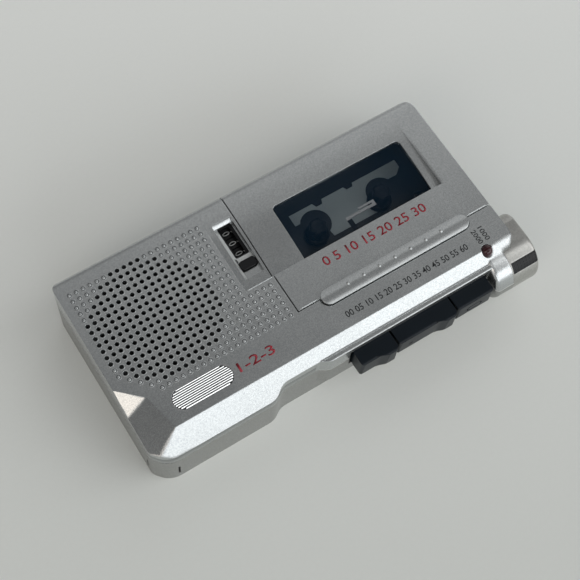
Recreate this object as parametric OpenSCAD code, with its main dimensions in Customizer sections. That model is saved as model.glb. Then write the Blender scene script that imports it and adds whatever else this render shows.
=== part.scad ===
/* [Body] */
// Length of the cabinet
body_len = 114.2; // [114:0.1:116]
// Width of the cabinet
body_wid = 56.5; // [56.4:0.1:57.5]
// Height of the cabinet lying on its back
body_h = 22.8; // [22.6:0.1:23.6]
// Thickness of the moulded walls
wall = 1.4; // [1.3:0.05:1.5]
// Height of the line where the two cabinet halves meet
parting_z = 13.5; // [13.2:0.1:13.8]
// Width of the sloped edge on the key side
slope_w = 5.35; // [5:0.05:5.6]
// Drop of the sloped edge on the key side
slope_h = 6.1; // [5.8:0.05:6.4]
// Depth of the side recess between the hump and the keys
recess_d = 2.25; // [2:0.05:2.5]

/* [Speaker] */
// Spacing of the speaker holes
hole_pitch = 2.03; // [1.9:0.01:2.1]
// Diameter of a speaker hole
hole_d = 1.15; // [1:0.05:1.3]
// Radius of the field of open holes
hole_field_r = 17.55; // [15:0.05:17.8]
// Diameter of the speaker
speaker_d = 34.8; // [33:0.1:35]

/* [Badge] */
// Length of the ribbed badge
badge_len = 17.4; // [15:0.1:18]
// Width of the ribbed badge
badge_wid = 6.1; // [5:0.1:6.4]
// Number of ribs
badge_ribs = 11; // [9:1:12]

/* [Lid] */
// Length of the cassette lid
lid_len = 62.15; // [61.8:0.05:62.4]
// Thickness of the lid
lid_t = 1.4; // [1.3:0.05:1.5]
// Gap round the lid
lid_gap = 0.3; // [0.25:0.05:0.4]
// Radius of the rolled hinge edge
roll_r = 2.4; // [2.3:0.05:2.5]
// Depth of the curved dip at its step
dip_d = 2.0; // [1.6:0.1:2.1]
// Length of the window
window_len = 41.8; // [38:0.1:42]
// Width of the window
window_wid = 17.4; // [15:0.1:17.5]
// Length of the grip bar
grip_len = 47.3; // [44:0.1:48]
// Width of the grip bar
grip_wid = 4.7; // [4.4:0.1:4.8]
// Height of the grip bar above the lid
grip_h = 0.9; // [0.7:0.05:1.1]

/* [Keys] */
// Height of a key cap
key_h = 6.9; // [6.5:0.1:7]
// Reach of the key caps beyond the bezel
key_reach = 4.6; // [4.5:0.1:5]
// Travel of a key
key_travel = 2.0; // [1.6:0.1:2]

/* [Microphone] */
// Radius of the corner barrel
barrel_r = 8.6; // [8.4:0.05:8.7]
// Length of the barrel cap
cap_len = 9.2; // [8.5:0.1:9.6]
// Half of the angle that the black screen covers
screen_half_angle = 11.5; // [9:0.5:13]

/* [Counter] */
// Radius of a digit wheel
wheel_r = 4.0; // [3.8:0.05:4]
// Spacing of the digit wheels
wheel_pitch = 3.4; // [3.35:0.01:3.4]

/* [Drive] */
// Radius of the flywheel
flywheel_r = 10; // [9.5:0.1:10.2]
// Spacing of the reel spindles
spindle_gap = 21.2; // [20.8:0.1:21.6]
// Radius of the motor
motor_r = 8; // [7.5:0.1:8.2]

/* [Controls] */
// Radius of the volume dial
dial_r = 8.2; // [8.1:0.05:8.3]
// Bore of the earphone and microphone jacks
jack_bore_d = 3.6; // [3.5:0.05:3.7]

/* [Hidden] */

$fn = 64;
eps = 0.01;
far = 200;

// Clearances
run_gap = 0.05;
slide_gap = 0.2;

// Cabinet edges
left = -body_len / 2;
right = body_len / 2;
front_y = -body_wid / 2;
back_y = body_wid / 2;
top = body_h;
inner_top = top - wall;
recess_y = front_y + recess_d;
hump_x = left + 33.9;
hump_curve_w = 6.4;
hump_curve_r = (hump_curve_w * hump_curve_w + recess_d * recess_d) / (4 * recess_d);
slope_y = front_y + slope_w;
slope_angle = atan2(slope_h, slope_w);

// Strap slots and facets on the speaker corner
strap_at = 5.8;
strap_w = 0.6;
facet_top = [left + 6.1, front_y + 16.15];
facet_side_dir = [-0.973, -0.230];
facet_side_slope = 0.58;
facet_end_dir = [-0.689, -0.725];
facet_end_slope = 0.70;

// Bezel round the keys
bezel_y = front_y + 0.75;
bezel_x0 = right - 64;
bezel_taper = 3;
bezel_z0 = top - 17.5;
ledge_z = top - 3.3;
ledge_edge_r = 0.4;
ledge_groove_y = bezel_y + 0.95;
ledge_groove_w = 0.3;
ledge_groove_d = 0.25;
keys_x0 = right - 54.4;
keys_x1 = right - 11.3;
key_top = top - 6.1;
key_bottom = key_top - key_h;
key_slot_z0 = key_bottom - 0.4;
key_slot_z1 = key_top + 0.5;
key_slot_side = 0.8;
key_gap = 0.6;
stop_key_w = 11.4;
play_key_w = 18.6;
key_face_y = bezel_y - key_reach;
key_collar_y = recess_y + wall + 0.4;
key_collar_t = 0.8;
key_edge_r = 0.7;
key_foot_r = 0.5;
key_corner_r = 0.9;
nub_reach = 0.95;
nub_len = 6.4;
nub_ramp = 3.6;
nub_end_r = 1.5;

// Corner barrel
barrel_y = front_y + 4.15;
barrel_z = top - 11.2;
barrel_bore_r = barrel_r - wall;
boss_x0 = right - 9.9;
seam_x = right - 4.2;
cap_end_x = seam_x + cap_len;
cap_seat_gap = 0.15;
cap_edge_r = 1.5;
shoulder_r = 4;
shoulder_y = barrel_y + 5.5;
shoulder_z = barrel_z + barrel_r - shoulder_r;
shoulder_x0 = right + cap_seat_gap;
shoulder_turn = 2 * atan2(shoulder_z - barrel_z, shoulder_y - barrel_y) - 90;
shoulder_tuck = 0.02;
screen_angle = 44.5;
screen_depth = 0.5;

// Lid
lid_x0 = right - lid_len;
lid_y0 = front_y + 16.2;
hinge_y = back_y - roll_r;
hinge_z = top - roll_r;
hinge_pin_r = 0.6;
lug_x = [right - 51.65, right - 10.65];
lug_w = 3;
lug_half_t = 0.7;
lug_eye_r = 1.2;
trough_r = roll_r + 0.25;
under_lid = top - lid_t - slide_gap;

// Curved dip shared by the counter tray and the lid
dip_y0 = lid_y0 + 12.05;
dip_y1 = hinge_y - 3.25;
dip_run = dip_y1 - dip_y0;
dip_r = (dip_run * dip_run + dip_d * dip_d) / (2 * dip_d);
dip_x0 = lid_x0 - 8.85;
dip_x1 = right - 7.6;
dip_shell = 1.2;
dip_floor = top - dip_d - dip_shell;

// Window
window_cx = right - 31.15;
window_y1 = dip_y0 + 17.75;
window_y0 = window_y1 - window_wid;
window_corner_r = 1.4;
window_flange = 0.6;

// Grip bar
grip_cx = right - 31.75;
grip_y = lid_y0 - 0.7;
grip_dots = 7;
grip_dot_pitch = 5.03;
grip_dot_r = 0.45;
grip_dome_r = 7;

// Counter tray
tray_x0 = lid_x0 - 6.85;
tray_x1 = lid_x0 - 1.05;
tray_y0 = dip_y0 + 3.35;
tray_y1 = dip_y0 + 20.25;
tray_bevel = 0.9;
tray_floor = top - 2.4;
tray_under = tray_floor - 1.2;
wheel_x = lid_x0 - 3.6;
wheel_y = dip_y0 + 15.35;
wheel_z = tray_under - wheel_r - 0.2;
wheel_w = 3.1;
digits_half_y = 5.1;
digits_half_x = 2.1;
digits_x = lid_x0 - 3.4;
frame_plate_t = 0.9;
reset_x = lid_x0 - 3.6;
reset_y = dip_y0 + 7.3;
reset_size = [4.5, 2.6];
reset_lip = 0.35;

// Speaker and badge
speaker_x = left + 19.2;
speaker_y = front_y + 34.55;
speaker_r = speaker_d / 2;
hole_steps = 9;
hole_field_drop = 0.5;
badge_x = left + 19.9;
badge_y = front_y + 10.95;
badge_recess = 0.6;
badge_rib_h = 0.22;
badge_base = top - 0.1;
badge_rim = 0.35;

// Record lamp
lamp_x = right - 8.7;
lamp_y = slope_y - 0.2;
lamp_r = 1.6;
lamp_dome_z = top - 0.75;

// Cassette bay
bay_len = 51;
bay_x1 = right - 5.9;
bay_x0 = bay_x1 - bay_len;
bay_y0 = lid_y0 + 0.85;
bay_y1 = hinge_y - 3.55;
bay_wall = 0.9;
deck_z = 9.6;
deck_t = 1.0;
deck_top = deck_z + deck_t;

// Reels and drive
reel_cx = bay_x0 + bay_len / 2;
reel_y = dip_y0 + 9;
supply_x = reel_cx - spindle_gap / 2;
takeup_x = reel_cx + spindle_gap / 2;
spindle_r = 1.5;
spindle_disc_r = 6;
spindle_top = deck_top + 3.6;
capstan_x = reel_cx + 12.3;
capstan_y = dip_y0 - 6;
capstan_r = 0.8;
capstan_top = deck_top + 7.4;
hub_r = 3;
idler_r = 3.4;
wheel_touch = 0.05;
disc_z0 = 8.2;
disc_z1 = 9.2;
belt_z0 = 5.5;
belt_z1 = 6.5;
belt_t = 0.7;
belt_clear = 0.05;
belt_tuck = 0.999;
motor_x = bay_x0 - bay_wall - 0.9 - motor_r;
motor_y = dip_y0 - 13.6;
motor_h = 7.2;
motor_shaft_r = 0.75;
pulley_groove_r = 2.0;
flywheel_groove_r = flywheel_r - 0.6;

// Place of the idler, touching the flywheel hub and the take-up disc
idler_a = hub_r + idler_r + wheel_touch;
idler_b = idler_r + spindle_disc_r + wheel_touch;
idler_line = [takeup_x - capstan_x, reel_y - capstan_y];
idler_dist = norm(idler_line);
idler_u = idler_line / idler_dist;
idler_run = (idler_dist * idler_dist + idler_a * idler_a - idler_b * idler_b) / (2 * idler_dist);
idler_off = sqrt(max(0, idler_a * idler_a - idler_run * idler_run));
idler_x = capstan_x + idler_u[0] * idler_run + idler_u[1] * idler_off;
idler_y = capstan_y + idler_u[1] * idler_run - idler_u[0] * idler_off;

// Head plate
plate_z0 = deck_top + 0.15;
plate_z1 = plate_z0 + 0.8;
plate_x0 = reel_cx - 16.7;
plate_x1 = reel_cx + 14.9;
plate_y0 = dip_y0 - 19.3;
plate_y1 = capstan_y - 4.4;
short_stem_y = plate_y0 - key_travel - 0.5;
plate_pin_x = [reel_cx - 13.2, reel_cx + 7.3];
plate_pin_y = dip_y0 - 14.5;
plate_pin_r = 1.0;
plate_slot_r = plate_pin_r + 0.1;
plate_slot_y = plate_pin_y - key_travel - 0.2;
roller_r = 2.6;
roller_y = capstan_y - capstan_r - roller_r - key_travel - 0.1;

// Batteries
cell_r = 7.1;
cell_len = 50.5;
cell_x = [left + 10.9, left + 25.5];
cell_z = 8.9;
contact_t = 0.3;
battery_wall_x = left + 33.1;
battery_wall_t = 1;
deck_x0 = battery_wall_x + battery_wall_t + 0.75;
door_x1 = left + 33.9;
door_t = 1.2;
door_rim = 2.45;
door_half_y = back_y - door_rim;
door_tongue = 0.5;
door_gap = 0.15;
rail_y = door_half_y - 0.3;
rail_z = 2.2;

// Circuit board and controls
board_z0 = 2.2;
board_z1 = 3.4;
dial_x = battery_wall_x + battery_wall_t + 0.5 + dial_r;
dial_y = back_y - 7.35;
dial_z0 = 4.2;
dial_z1 = 6.6;
switch_x = [right - 49.15, right - 33.15];
switch_travel = 3;
knob_half_x = 1.6;
knob_z0 = 4.6;
knob_z1 = 6.2;
jack_z = 5.6;
earphone_y = dip_y0 + 10.5;
microphone_y = dip_y0 + 18.5;
power_y = dip_y0 - 5.5;
jack_len = 11;
power_len = 6;
jack_nose_r = 2.9;

// Screws
screw_at = [[left + 37.2, front_y + 5.75], [left + 36.9, front_y + 23.25],
    [right - 3.9, back_y - 3.95], [right - 9.5, front_y + 11.75]];
screw_boss_r = 2.5;
screw_hole_r = 1.05;
screw_r = 0.95;
screw_head_r = 1.9;
screw_seat_z = 6;
screw_end = [inner_top - 1, inner_top - 1, 16.5, inner_top - 1];
deck_post_at = [[bay_x0 + 2.6, dip_y0 + 15.5], [bay_x0 + 46.8, dip_y0 + 4.5],
    [bay_x0 - 1.4, dip_y0 - 20], [bay_x0 + 42.8, dip_y0 - 18.9]];
deck_post_r = 1.7;
deck_screw_r = 0.7;

// A corner of a plane figure beyond the arc that rounds it
module corner(x, y, sx, sy, r) {
    difference() {
        translate([sx > 0 ? x - 0.1 : x - r, sy > 0 ? y - 0.1 : y - r]) square(r + 0.1);
        translate([x + sx * r, y + sy * r]) circle(r);
    }
}

// Rectangle with its own radius at each corner, in turn from the lower left
module round_rect(x0, y0, x1, y1, r) {
    difference() {
        translate([x0, y0]) square([x1 - x0, y1 - y0]);
        corner(x0, y0, 1, 1, r[0]);
        corner(x1, y0, -1, 1, r[1]);
        corner(x1, y1, -1, -1, r[2]);
        corner(x0, y1, 1, -1, r[3]);
    }
}

// Straight slot shape with round ends
module stadium(cx, cy, len, wid) {
    half = (len - wid) / 2;
    translate([cx - half, cy - wid / 2]) square([2 * half, wid]);
    translate([cx - half, cy]) circle(wid / 2);
    translate([cx + half, cy]) circle(wid / 2);
}

module box(x0, x1, y0, y1, z0, z1) {
    translate([x0, y0, z0]) cube([x1 - x0, y1 - y0, z1 - z0]);
}

module post(x, y, z0, z1, r) {
    translate([x, y, z0]) cylinder(h = z1 - z0, r = r);
}

module rod_x(x0, x1, y, z, r) {
    translate([x0, y, z]) rotate([0, 90, 0]) cylinder(h = x1 - x0, r = r);
}

module rod_y(x, y0, y1, z, r) {
    translate([x, y0, z]) rotate([-90, 0, 0]) cylinder(h = y1 - y0, r = r);
}

// A section in Y and Z drawn out along X
module along_x(x0, x1) {
    translate([x0, 0, 0]) rotate([90, 0, 90]) linear_extrude(x1 - x0) children();
}

module slab(z0, z1) {
    translate([0, 0, z0]) linear_extrude(z1 - z0) children();
}

// Plan of the cabinet, moved inwards by the inset
module plan(inset) {
    round_rect(left + inset, recess_y + inset, right - inset, back_y - inset,
        [3 - inset, 5 - inset, 4 - inset, 2.8 - inset]);
    round_rect(left + inset, front_y + inset, hump_x, back_y - 10, [6.5 - inset, eps, eps, eps]);
    hump_curve(inset);
}

// S-shaped end of the hump, two arcs that meet half way
module hump_curve(inset) {
    a = [hump_x, front_y + hump_curve_r];
    b = [hump_x + hump_curve_w, recess_y - hump_curve_r];
    u = (b - a) / norm(b - a);
    meet = a + u * (hump_curve_r - inset);
    translate(a) circle(hump_curve_r - inset);
    difference() {
        polygon([a, meet, [b[0], recess_y + inset], [b[0], recess_y + 4], [a[0], recess_y + 4]]);
        translate(b) circle(hump_curve_r + inset);
    }
}

// Everything above a plane that falls away from a point of the top face
module above_slope(at, dir, slope, inset) {
    translate([at[0], at[1], top]) rotate([0, 0, atan2(dir[1], dir[0])]) rotate([0, atan(slope), 0])
        translate([-far / 2, -far / 2, -inset]) cube([far, far, far / 4]);
}

// The cabinet as one block, with its slopes and rounded edge, moved inwards by the inset
module block(inset) {
    difference() {
        slab(inset, top - inset) plan(inset);
        along_x(left - 5, right + 5)
            translate([slope_y + inset * sin(slope_angle), top - inset * cos(slope_angle)])
                rotate(slope_angle) translate([-40, 0]) square([60, 30]);
        along_x(left - 5, right + 5)
            corner(back_y - inset, top - inset, -1, -1, roll_r - inset);
        intersection() {
            above_slope(facet_top, facet_side_dir, facet_side_slope, inset);
            above_slope(facet_top, facet_end_dir, facet_end_slope, inset);
        }
    }
}

// Raised frame round the keys: a flat ledge above them with a fine groove, a rounded rim and a pointed end
module bezel() {
    intersection() {
        slab(bezel_z0, top) polygon([[bezel_x0, recess_y + wall / 2], [bezel_x0, recess_y],
            [bezel_x0 + 0.55 * bezel_taper, bezel_y + 0.45], [bezel_x0 + bezel_taper, bezel_y],
            [boss_x0 + 2, bezel_y], [boss_x0 + 2, recess_y + wall / 2]]);
        along_x(bezel_x0 - 1, boss_x0 + 3) difference() {
            translate([bezel_y, bezel_z0]) square([recess_y + wall - bezel_y, ledge_z - bezel_z0]);
            corner(bezel_y, ledge_z, 1, -1, ledge_edge_r);
            translate([ledge_groove_y, ledge_z - ledge_groove_d]) square([ledge_groove_w, 1]);
        }
    }
}

// Round bar along X with its two edges rounded
module round_bar(x0, x1, y, z, r, r0, r1) {
    translate([x0, y, z]) rotate([0, 90, 0]) rotate_extrude() difference() {
        square([r, x1 - x0]);
        corner(r, 0, -1, 1, r0);
        corner(r, x1 - x0, -1, -1, r1);
    }
}

module barrel(x0, x1, r, r0, r1) {
    round_bar(x0, x1, barrel_y, barrel_z, r, r0, r1);
}

module cabinet_outside() {
    difference() {
        union() {
            block(0);
            bezel();
            barrel(boss_x0, seam_x, barrel_r, 1.4, eps);
        }
        rod_x(seam_x, right + 9, barrel_y, barrel_z, barrel_r + cap_seat_gap);
    }
}

module cabinet_inside() {
    difference() {
        block(wall);
        rod_x(seam_x - wall, right + 9, barrel_y, barrel_z, barrel_r + cap_seat_gap + wall);
    }
    rod_x(boss_x0 + wall, seam_x + 1, barrel_y, barrel_z, barrel_bore_r);
}

module key_slot() {
    box(keys_x0 - key_slot_side, keys_x1 + key_slot_side, bezel_y - 1, recess_y + wall + 1,
        key_slot_z0, key_slot_z1);
}

module dip_cylinder(inset) {
    rod_x(left - 5, right + 5, dip_y1, top - dip_r, dip_r - inset, $fn = 360);
}

// The curved dip, cut from the top between two places
module dip_cut(x0, x1) {
    difference() {
        box(x0, x1, dip_y0, dip_y1, dip_floor, top + 2);
        dip_cylinder(0);
    }
}

module speaker_holes() {
    for (i = [-hole_steps:hole_steps], j = [-hole_steps:hole_steps])
        if (norm([i * hole_pitch, j * hole_pitch + hole_field_drop]) <= hole_field_r)
            post(speaker_x + i * hole_pitch, speaker_y + j * hole_pitch, inner_top - 1, top + 1,
                hole_d / 2, $fn = 20);
}

// Walls and shelves inside the front half, round the cassette bay
module bay_walls() {
    box(bay_x0 - bay_wall, bay_x0, bay_y0, bay_y1 + bay_wall, deck_top, under_lid);
    box(bay_x1, bay_x1 + bay_wall, bay_y0, bay_y1 + bay_wall, deck_top, under_lid);
    box(bay_x0 - bay_wall, bay_x1 + bay_wall, bay_y1, bay_y1 + bay_wall, deck_top, under_lid);
    box(bay_x0 - bay_wall, bay_x1 + bay_wall, bay_y0 - 6, bay_y0 + 0.5, under_lid - 1.2, under_lid);
    box(bay_x0 - bay_wall, bay_x1 + bay_wall, bay_y0 - 6, bay_y0 - 5, under_lid - 1.2, inner_top + 0.3);
    box(lid_x0 - lid_gap - 0.5, bay_x0, bay_y0 - 6, bay_y1 + bay_wall, tray_under - 1, tray_under);
    box(bay_x1, right - wall + 0.3, bay_y0, bay_y1 + 1, under_lid - 1.2, under_lid);
    box(lid_x0 - lid_gap - 0.5, right - wall + 0.3, bay_y1, back_y - wall + 0.3,
        hinge_z - trough_r - 1.1, hinge_z - trough_r - 0.1);
}

module tray_block() {
    box(dip_x0 - 1.2, lid_x0 - lid_gap, dip_y0 - 1.2, dip_y1 + 1, tray_under, inner_top + 0.3);
}

module tray_cut() {
    box(tray_x0, tray_x1, tray_y0, tray_y1, tray_floor, top + 2);
    along_x(tray_x0, tray_x1) polygon([[tray_y1 - eps, tray_floor], [tray_y1 + tray_bevel, top],
        [tray_y1 + tray_bevel, top + 1], [tray_y1 - eps, top + 1]]);
    slab(tray_under - 1, top) round_rect(digits_x - digits_half_x, wheel_y - digits_half_y,
        digits_x + digits_half_x, wheel_y + digits_half_y, [0.6, 0.6, 0.6, 0.6]);
    slab(tray_under - 1, top) round_rect(reset_x - reset_size[0] / 2 - slide_gap,
        reset_y - reset_size[1] / 2 - slide_gap, reset_x + reset_size[0] / 2 + slide_gap,
        reset_y + reset_size[1] / 2 + slide_gap, [0.8, 0.8, 0.8, 0.8]);
}

module lid_room() {
    box(lid_x0 - lid_gap, right + 9, lid_y0 - lid_gap, back_y + 9, under_lid, top + 5);
    slab(under_lid, top + 5) stadium(grip_cx, grip_y, grip_len + 2 * lid_gap, grip_wid + 2 * lid_gap);
    rod_x(lid_x0 - lid_gap, right + 9, hinge_y, hinge_z, trough_r);
    difference() {
        box(lid_x0 - lid_gap, dip_x1 + dip_shell + lid_gap, dip_y0 - dip_shell - lid_gap, dip_y1,
            dip_floor - slide_gap, top + 1);
        intersection() {
            dip_cylinder(dip_shell + slide_gap);
            box(left, right, dip_y0, dip_y1, 0, top);
        }
    }
}

module hinge_lugs() {
    for (x = lug_x) {
        difference() {
            union() {
                box(x, x + lug_w, bay_y1, hinge_y, hinge_z - lug_half_t, hinge_z + lug_half_t);
                rod_x(x, x + lug_w, hinge_y, hinge_z, lug_eye_r);
            }
            rod_x(x - 1, x + lug_w + 1, hinge_y, hinge_z, hinge_pin_r);
        }
    }
}

module front_cabinet() {
    color("silver") {
        difference() {
            union() {
                intersection() {
                    difference() {
                        cabinet_outside();
                        cabinet_inside();
                    }
                    box(-far, far, -far, far, parting_z, far);
                }
                intersection() {
                    block(wall / 2);
                    union() {
                        bay_walls();
                        tray_block();
                        for (i = [0:3]) post(screw_at[i][0], screw_at[i][1], parting_z,
                            i == 2 ? hinge_z - trough_r - 0.5 : inner_top + 0.3, screw_boss_r);
                    }
                }
            }
            lid_room();
            dip_cut(dip_x0, lid_x0);
            tray_cut();
            speaker_holes();
            slab(top - badge_recess, top + 1) stadium(badge_x, badge_y, badge_len, badge_wid);
            post(lamp_x, lamp_y, parting_z, top + 1, lamp_r);
            key_slot();
            for (i = [0:3]) {
                post(screw_at[i][0], screw_at[i][1], parting_z - 1, screw_end[i] + 0.3, screw_hole_r);
                post(screw_at[i][0], screw_at[i][1], 0, parting_z, screw_boss_r + slide_gap);
            }
        }
        hinge_lugs();
    }
}

// Shadow line round the top of the rear half
module parting_groove() {
    difference() {
        slab(parting_z - 0.3, parting_z + 1) plan(-0.2);
        slab(parting_z - 1, parting_z + 2) plan(0.25);
        box(bezel_x0, right + 5, front_y - 9, recess_y + 3, 0, top);
    }
}

// Two slots round the speaker corner for a hand strap
module strap_slots() {
    box(left + strap_at, left + strap_at + strap_w, front_y - 1, front_y + wall + 1, 2.6, 8);
    box(left - 1, left + wall + 1, front_y + strap_at, front_y + strap_at + strap_w, 2.6, 8);
}

module rear_ribs() {
    for (i = [0:3]) post(screw_at[i][0], screw_at[i][1], wall / 2, parting_z, screw_boss_r);
    for (p = deck_post_at) post(p[0], p[1], wall / 2, deck_z, deck_post_r);
    box(battery_wall_x, battery_wall_x + battery_wall_t, front_y, back_y, wall / 2, parting_z);
    for (side = [-1, 1]) box(left, battery_wall_x, side > 0 ? rail_y : front_y, side > 0 ? back_y : -rail_y,
        wall / 2, rail_z);
    for (y = [-12, 2]) post(dial_x - 3.75, y, wall / 2, board_z0, 1.4);
    post(switch_x[1] - 9, back_y - 6, wall / 2, board_z0, 1.4);
    post(capstan_x, capstan_y, wall / 2, 2.4, 1.5);
}

module door_room() {
    slab(-1, door_t + door_gap) translate([left - 5, -door_half_y - door_gap])
        square([door_x1 + door_gap - left + 5, 2 * (door_half_y + door_gap)]);
    box(left - 5, door_x1 + door_gap, -door_half_y - door_tongue - door_gap,
        door_half_y + door_tongue + door_gap, door_t / 2 - door_gap, door_t + door_gap);
    box(left + 3.2, battery_wall_x - 0.2, -door_half_y, door_half_y, 0, wall + 1);
}

module rear_cabinet() {
    color("darkgray") difference() {
        union() {
            intersection() {
                difference() {
                    cabinet_outside();
                    cabinet_inside();
                }
                box(-far, far, -far, far, -1, parting_z);
            }
            intersection() {
                block(wall / 2);
                rear_ribs();
            }
        }
        parting_groove();
        strap_slots();
        door_room();
        key_slot();
        for (p = screw_at) {
            post(p[0], p[1], -1, screw_seat_z, screw_head_r + 0.2);
            post(p[0], p[1], -1, parting_z + 1, screw_hole_r);
        }
        for (p = deck_post_at) post(p[0], p[1], wall + 1, deck_z + 1, deck_screw_r);
        for (y = [earphone_y, microphone_y, power_y])
            rod_x(right - wall - 1, right + 1, y, jack_z, jack_nose_r + run_gap);
        box(dial_x - 6, dial_x + 6, back_y - wall - 1, back_y + 1, dial_z0 - 0.3, dial_z1 + 0.3);
        for (x = switch_x) box(x - knob_half_x - slide_gap, x + switch_travel + knob_half_x + slide_gap,
            back_y - wall - 1, back_y + 1, knob_z0 - slide_gap, knob_z1 + slide_gap);
    }
}

module battery_door() {
    color("darkgray") {
        intersection() {
            slab(0, door_t) plan(0);
            union() {
                box(left - 1, door_x1, -door_half_y, door_half_y, 0, door_t);
                box(left - 1, door_x1, -door_half_y - door_tongue, door_half_y + door_tongue,
                    door_t / 2, door_t);
            }
        }
    }
}

module battery_cells() {
    color("dimgray") for (i = [0, 1]) {
        flip = i == 0 ? 1 : -1;
        tip = flip * (back_y - wall - contact_t);
        translate([cell_x[i], tip, cell_z]) rotate([flip * 90, 0, 0]) {
            cylinder(h = 1.2, r = 2.6);
            translate([0, 0, 1.2 - eps]) cylinder(h = cell_len - 1.2, r = cell_r);
        }
    }
}

// Flat plates for the positive ends, plates with a pressed bump for the negative ends
module battery_contacts() {
    bump = 2 * (back_y - wall - contact_t) - cell_len;
    color("gold") for (i = [0, 1]) {
        flip = i == 0 ? 1 : -1;
        plate_y = back_y - wall - contact_t;
        for (k = [0, 1]) {
            side = k == 0 ? flip : -flip;
            y0 = side > 0 ? plate_y : -plate_y - contact_t;
            box(cell_x[i] - 4.5, cell_x[i] + 4.5, y0, y0 + contact_t, 4.5, 13);
            if (k == 1) rod_y(cell_x[i], side > 0 ? plate_y - bump : -plate_y - eps,
                side > 0 ? plate_y + eps : -plate_y + bump, cell_z, 2.6);
        }
    }
}

module speaker_frame() {
    color("gray") translate([speaker_x, speaker_y, inner_top]) rotate_extrude() polygon([
        [speaker_r - 2.4, 0], [speaker_r, 0], [speaker_r, -1.4], [speaker_r - 1.4, -1.4],
        [9.5, -3.2], [9.5, -3.9], [5, -3.9], [5, -3.1], [9, -3.1], [speaker_r - 2.4, -1]]);
}

module speaker_magnet() {
    color("dimgray") post(speaker_x, speaker_y, inner_top - 4.6, inner_top - 3.9, 8);
}

module speaker_cone() {
    cone_r = speaker_r - 2.4;
    color("black") translate([speaker_x, speaker_y, inner_top]) rotate_extrude() polygon([
        [0, -1.6], [4, -2.2], [5, -2.4], [cone_r, -0.6], [cone_r, -0.2], [5, -2], [4, -1.6], [0, -1]]);
}

module ribbed_badge() {
    ribbed_len = badge_len - 2 * badge_rim;
    ribbed_wid = badge_wid - 2 * badge_rim;
    rib_pitch = ribbed_wid / badge_ribs;
    foot = rib_pitch * 0.4;
    crest = rib_pitch * 0.3;
    color("whitesmoke") {
        slab(top - badge_recess, badge_base) stadium(badge_x, badge_y, badge_len, badge_wid);
        intersection() {
            slab(top - badge_recess, top + 1) stadium(badge_x, badge_y, ribbed_len, ribbed_wid);
            for (k = [0:badge_ribs - 1]) {
                y = badge_y + (k - (badge_ribs - 1) / 2) * rib_pitch;
                along_x(badge_x - ribbed_len / 2, badge_x + ribbed_len / 2) polygon([
                    [y - foot, badge_base - 0.1], [y + foot, badge_base - 0.1],
                    [y + crest, badge_base + badge_rib_h], [y - crest, badge_base + badge_rib_h]]);
            }
        }
    }
}

module record_lamp() {
    color("maroon") {
        post(lamp_x, lamp_y, top - 4.5, lamp_dome_z, lamp_r);
        translate([lamp_x, lamp_y, lamp_dome_z]) sphere(lamp_r);
    }
}

// Sector of the barrel that the black screen fills
module screen_sector() {
    translate([seam_x + 0.3, barrel_y, barrel_z])
        rotate([90 + screen_angle, 0, 0]) rotate([0, 90, 0]) rotate([0, 0, 90 - screen_half_angle])
            rotate_extrude(angle = 2 * screen_half_angle) translate([3.2, 0]) square([barrel_r, cap_len]);
}

module screen_skin() {
    difference() {
        barrel(seam_x, cap_end_x, barrel_r, eps, cap_edge_r);
        barrel(seam_x - 1, cap_end_x - screen_depth, barrel_r - screen_depth, eps, cap_edge_r - 0.4);
    }
}

// Strip that rounds the end edge of a flat side of the shoulder
module shoulder_edge(turn, y0, y1) {
    translate([0, barrel_y, barrel_z]) rotate([turn, 0, 0]) translate([0, y1, 0]) rotate([90, 0, 0])
        linear_extrude(y1 - y0) corner(cap_end_x, barrel_r - shoulder_tuck, -1, -1, cap_edge_r);
}

// Square shoulder of the cap beside the end wall, with flat sides that run on from the barrel
module cap_shoulder() {
    big = barrel_r - shoulder_tuck;
    small = shoulder_r - shoulder_tuck;
    out = [cos(shoulder_turn), sin(shoulder_turn)];
    round_bar(shoulder_x0, cap_end_x, shoulder_y, shoulder_z, shoulder_r, eps, cap_edge_r);
    difference() {
        along_x(shoulder_x0, cap_end_x) polygon([[barrel_y, barrel_z + big], [shoulder_y, shoulder_z + small],
            [shoulder_y, shoulder_z], [shoulder_y, shoulder_z] + small * out,
            [barrel_y, barrel_z] + big * out, [barrel_y, barrel_z]]);
        shoulder_edge(0, -2, shoulder_y - barrel_y + 2);
        shoulder_edge(shoulder_turn - 90, barrel_y - shoulder_y - 2, 2);
    }
}

module microphone_cap() {
    color("rosybrown") difference() {
        union() {
            barrel(seam_x, cap_end_x, barrel_r, eps, cap_edge_r);
            cap_shoulder();
            rod_x(seam_x - 2, seam_x + 1, barrel_y, barrel_z, barrel_bore_r - run_gap);
        }
        rod_x(seam_x - 3, seam_x + 1, barrel_y, barrel_z, barrel_bore_r - 0.8);
        rod_x(seam_x, cap_end_x - 1.6, barrel_y, barrel_z, barrel_bore_r - 0.8);
        intersection() {
            screen_skin();
            screen_sector();
        }
    }
}

module microphone_screen() {
    color("black") intersection() {
        screen_skin();
        screen_sector();
    }
}

module microphone_capsule() {
    color("gray") rod_x(seam_x + 1.6, seam_x + 6, barrel_y, barrel_z, 4.5);
}

module microphone_grommet() {
    color("black") difference() {
        rod_x(seam_x + 2, seam_x + 5, barrel_y, barrel_z, barrel_bore_r - 0.8);
        rod_x(seam_x + 1, seam_x + 7, barrel_y, barrel_z, 4.5);
    }
}

// Room in the rolled edge for a hinge lug, over the whole swing
module lug_room() {
    for (x = lug_x) {
        x0 = x - slide_gap;
        x1 = x + lug_w + slide_gap;
        rod_x(x0, x1, hinge_y, hinge_z, lug_eye_r + slide_gap);
        box(x0, x1, hinge_y - roll_r - 1, hinge_y, hinge_z - roll_r - 1, hinge_z + lug_half_t + 0.15);
        box(x0, x1, hinge_y - 1, hinge_y + 1.1, hinge_z - roll_r - 1, hinge_z);
    }
}

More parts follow.
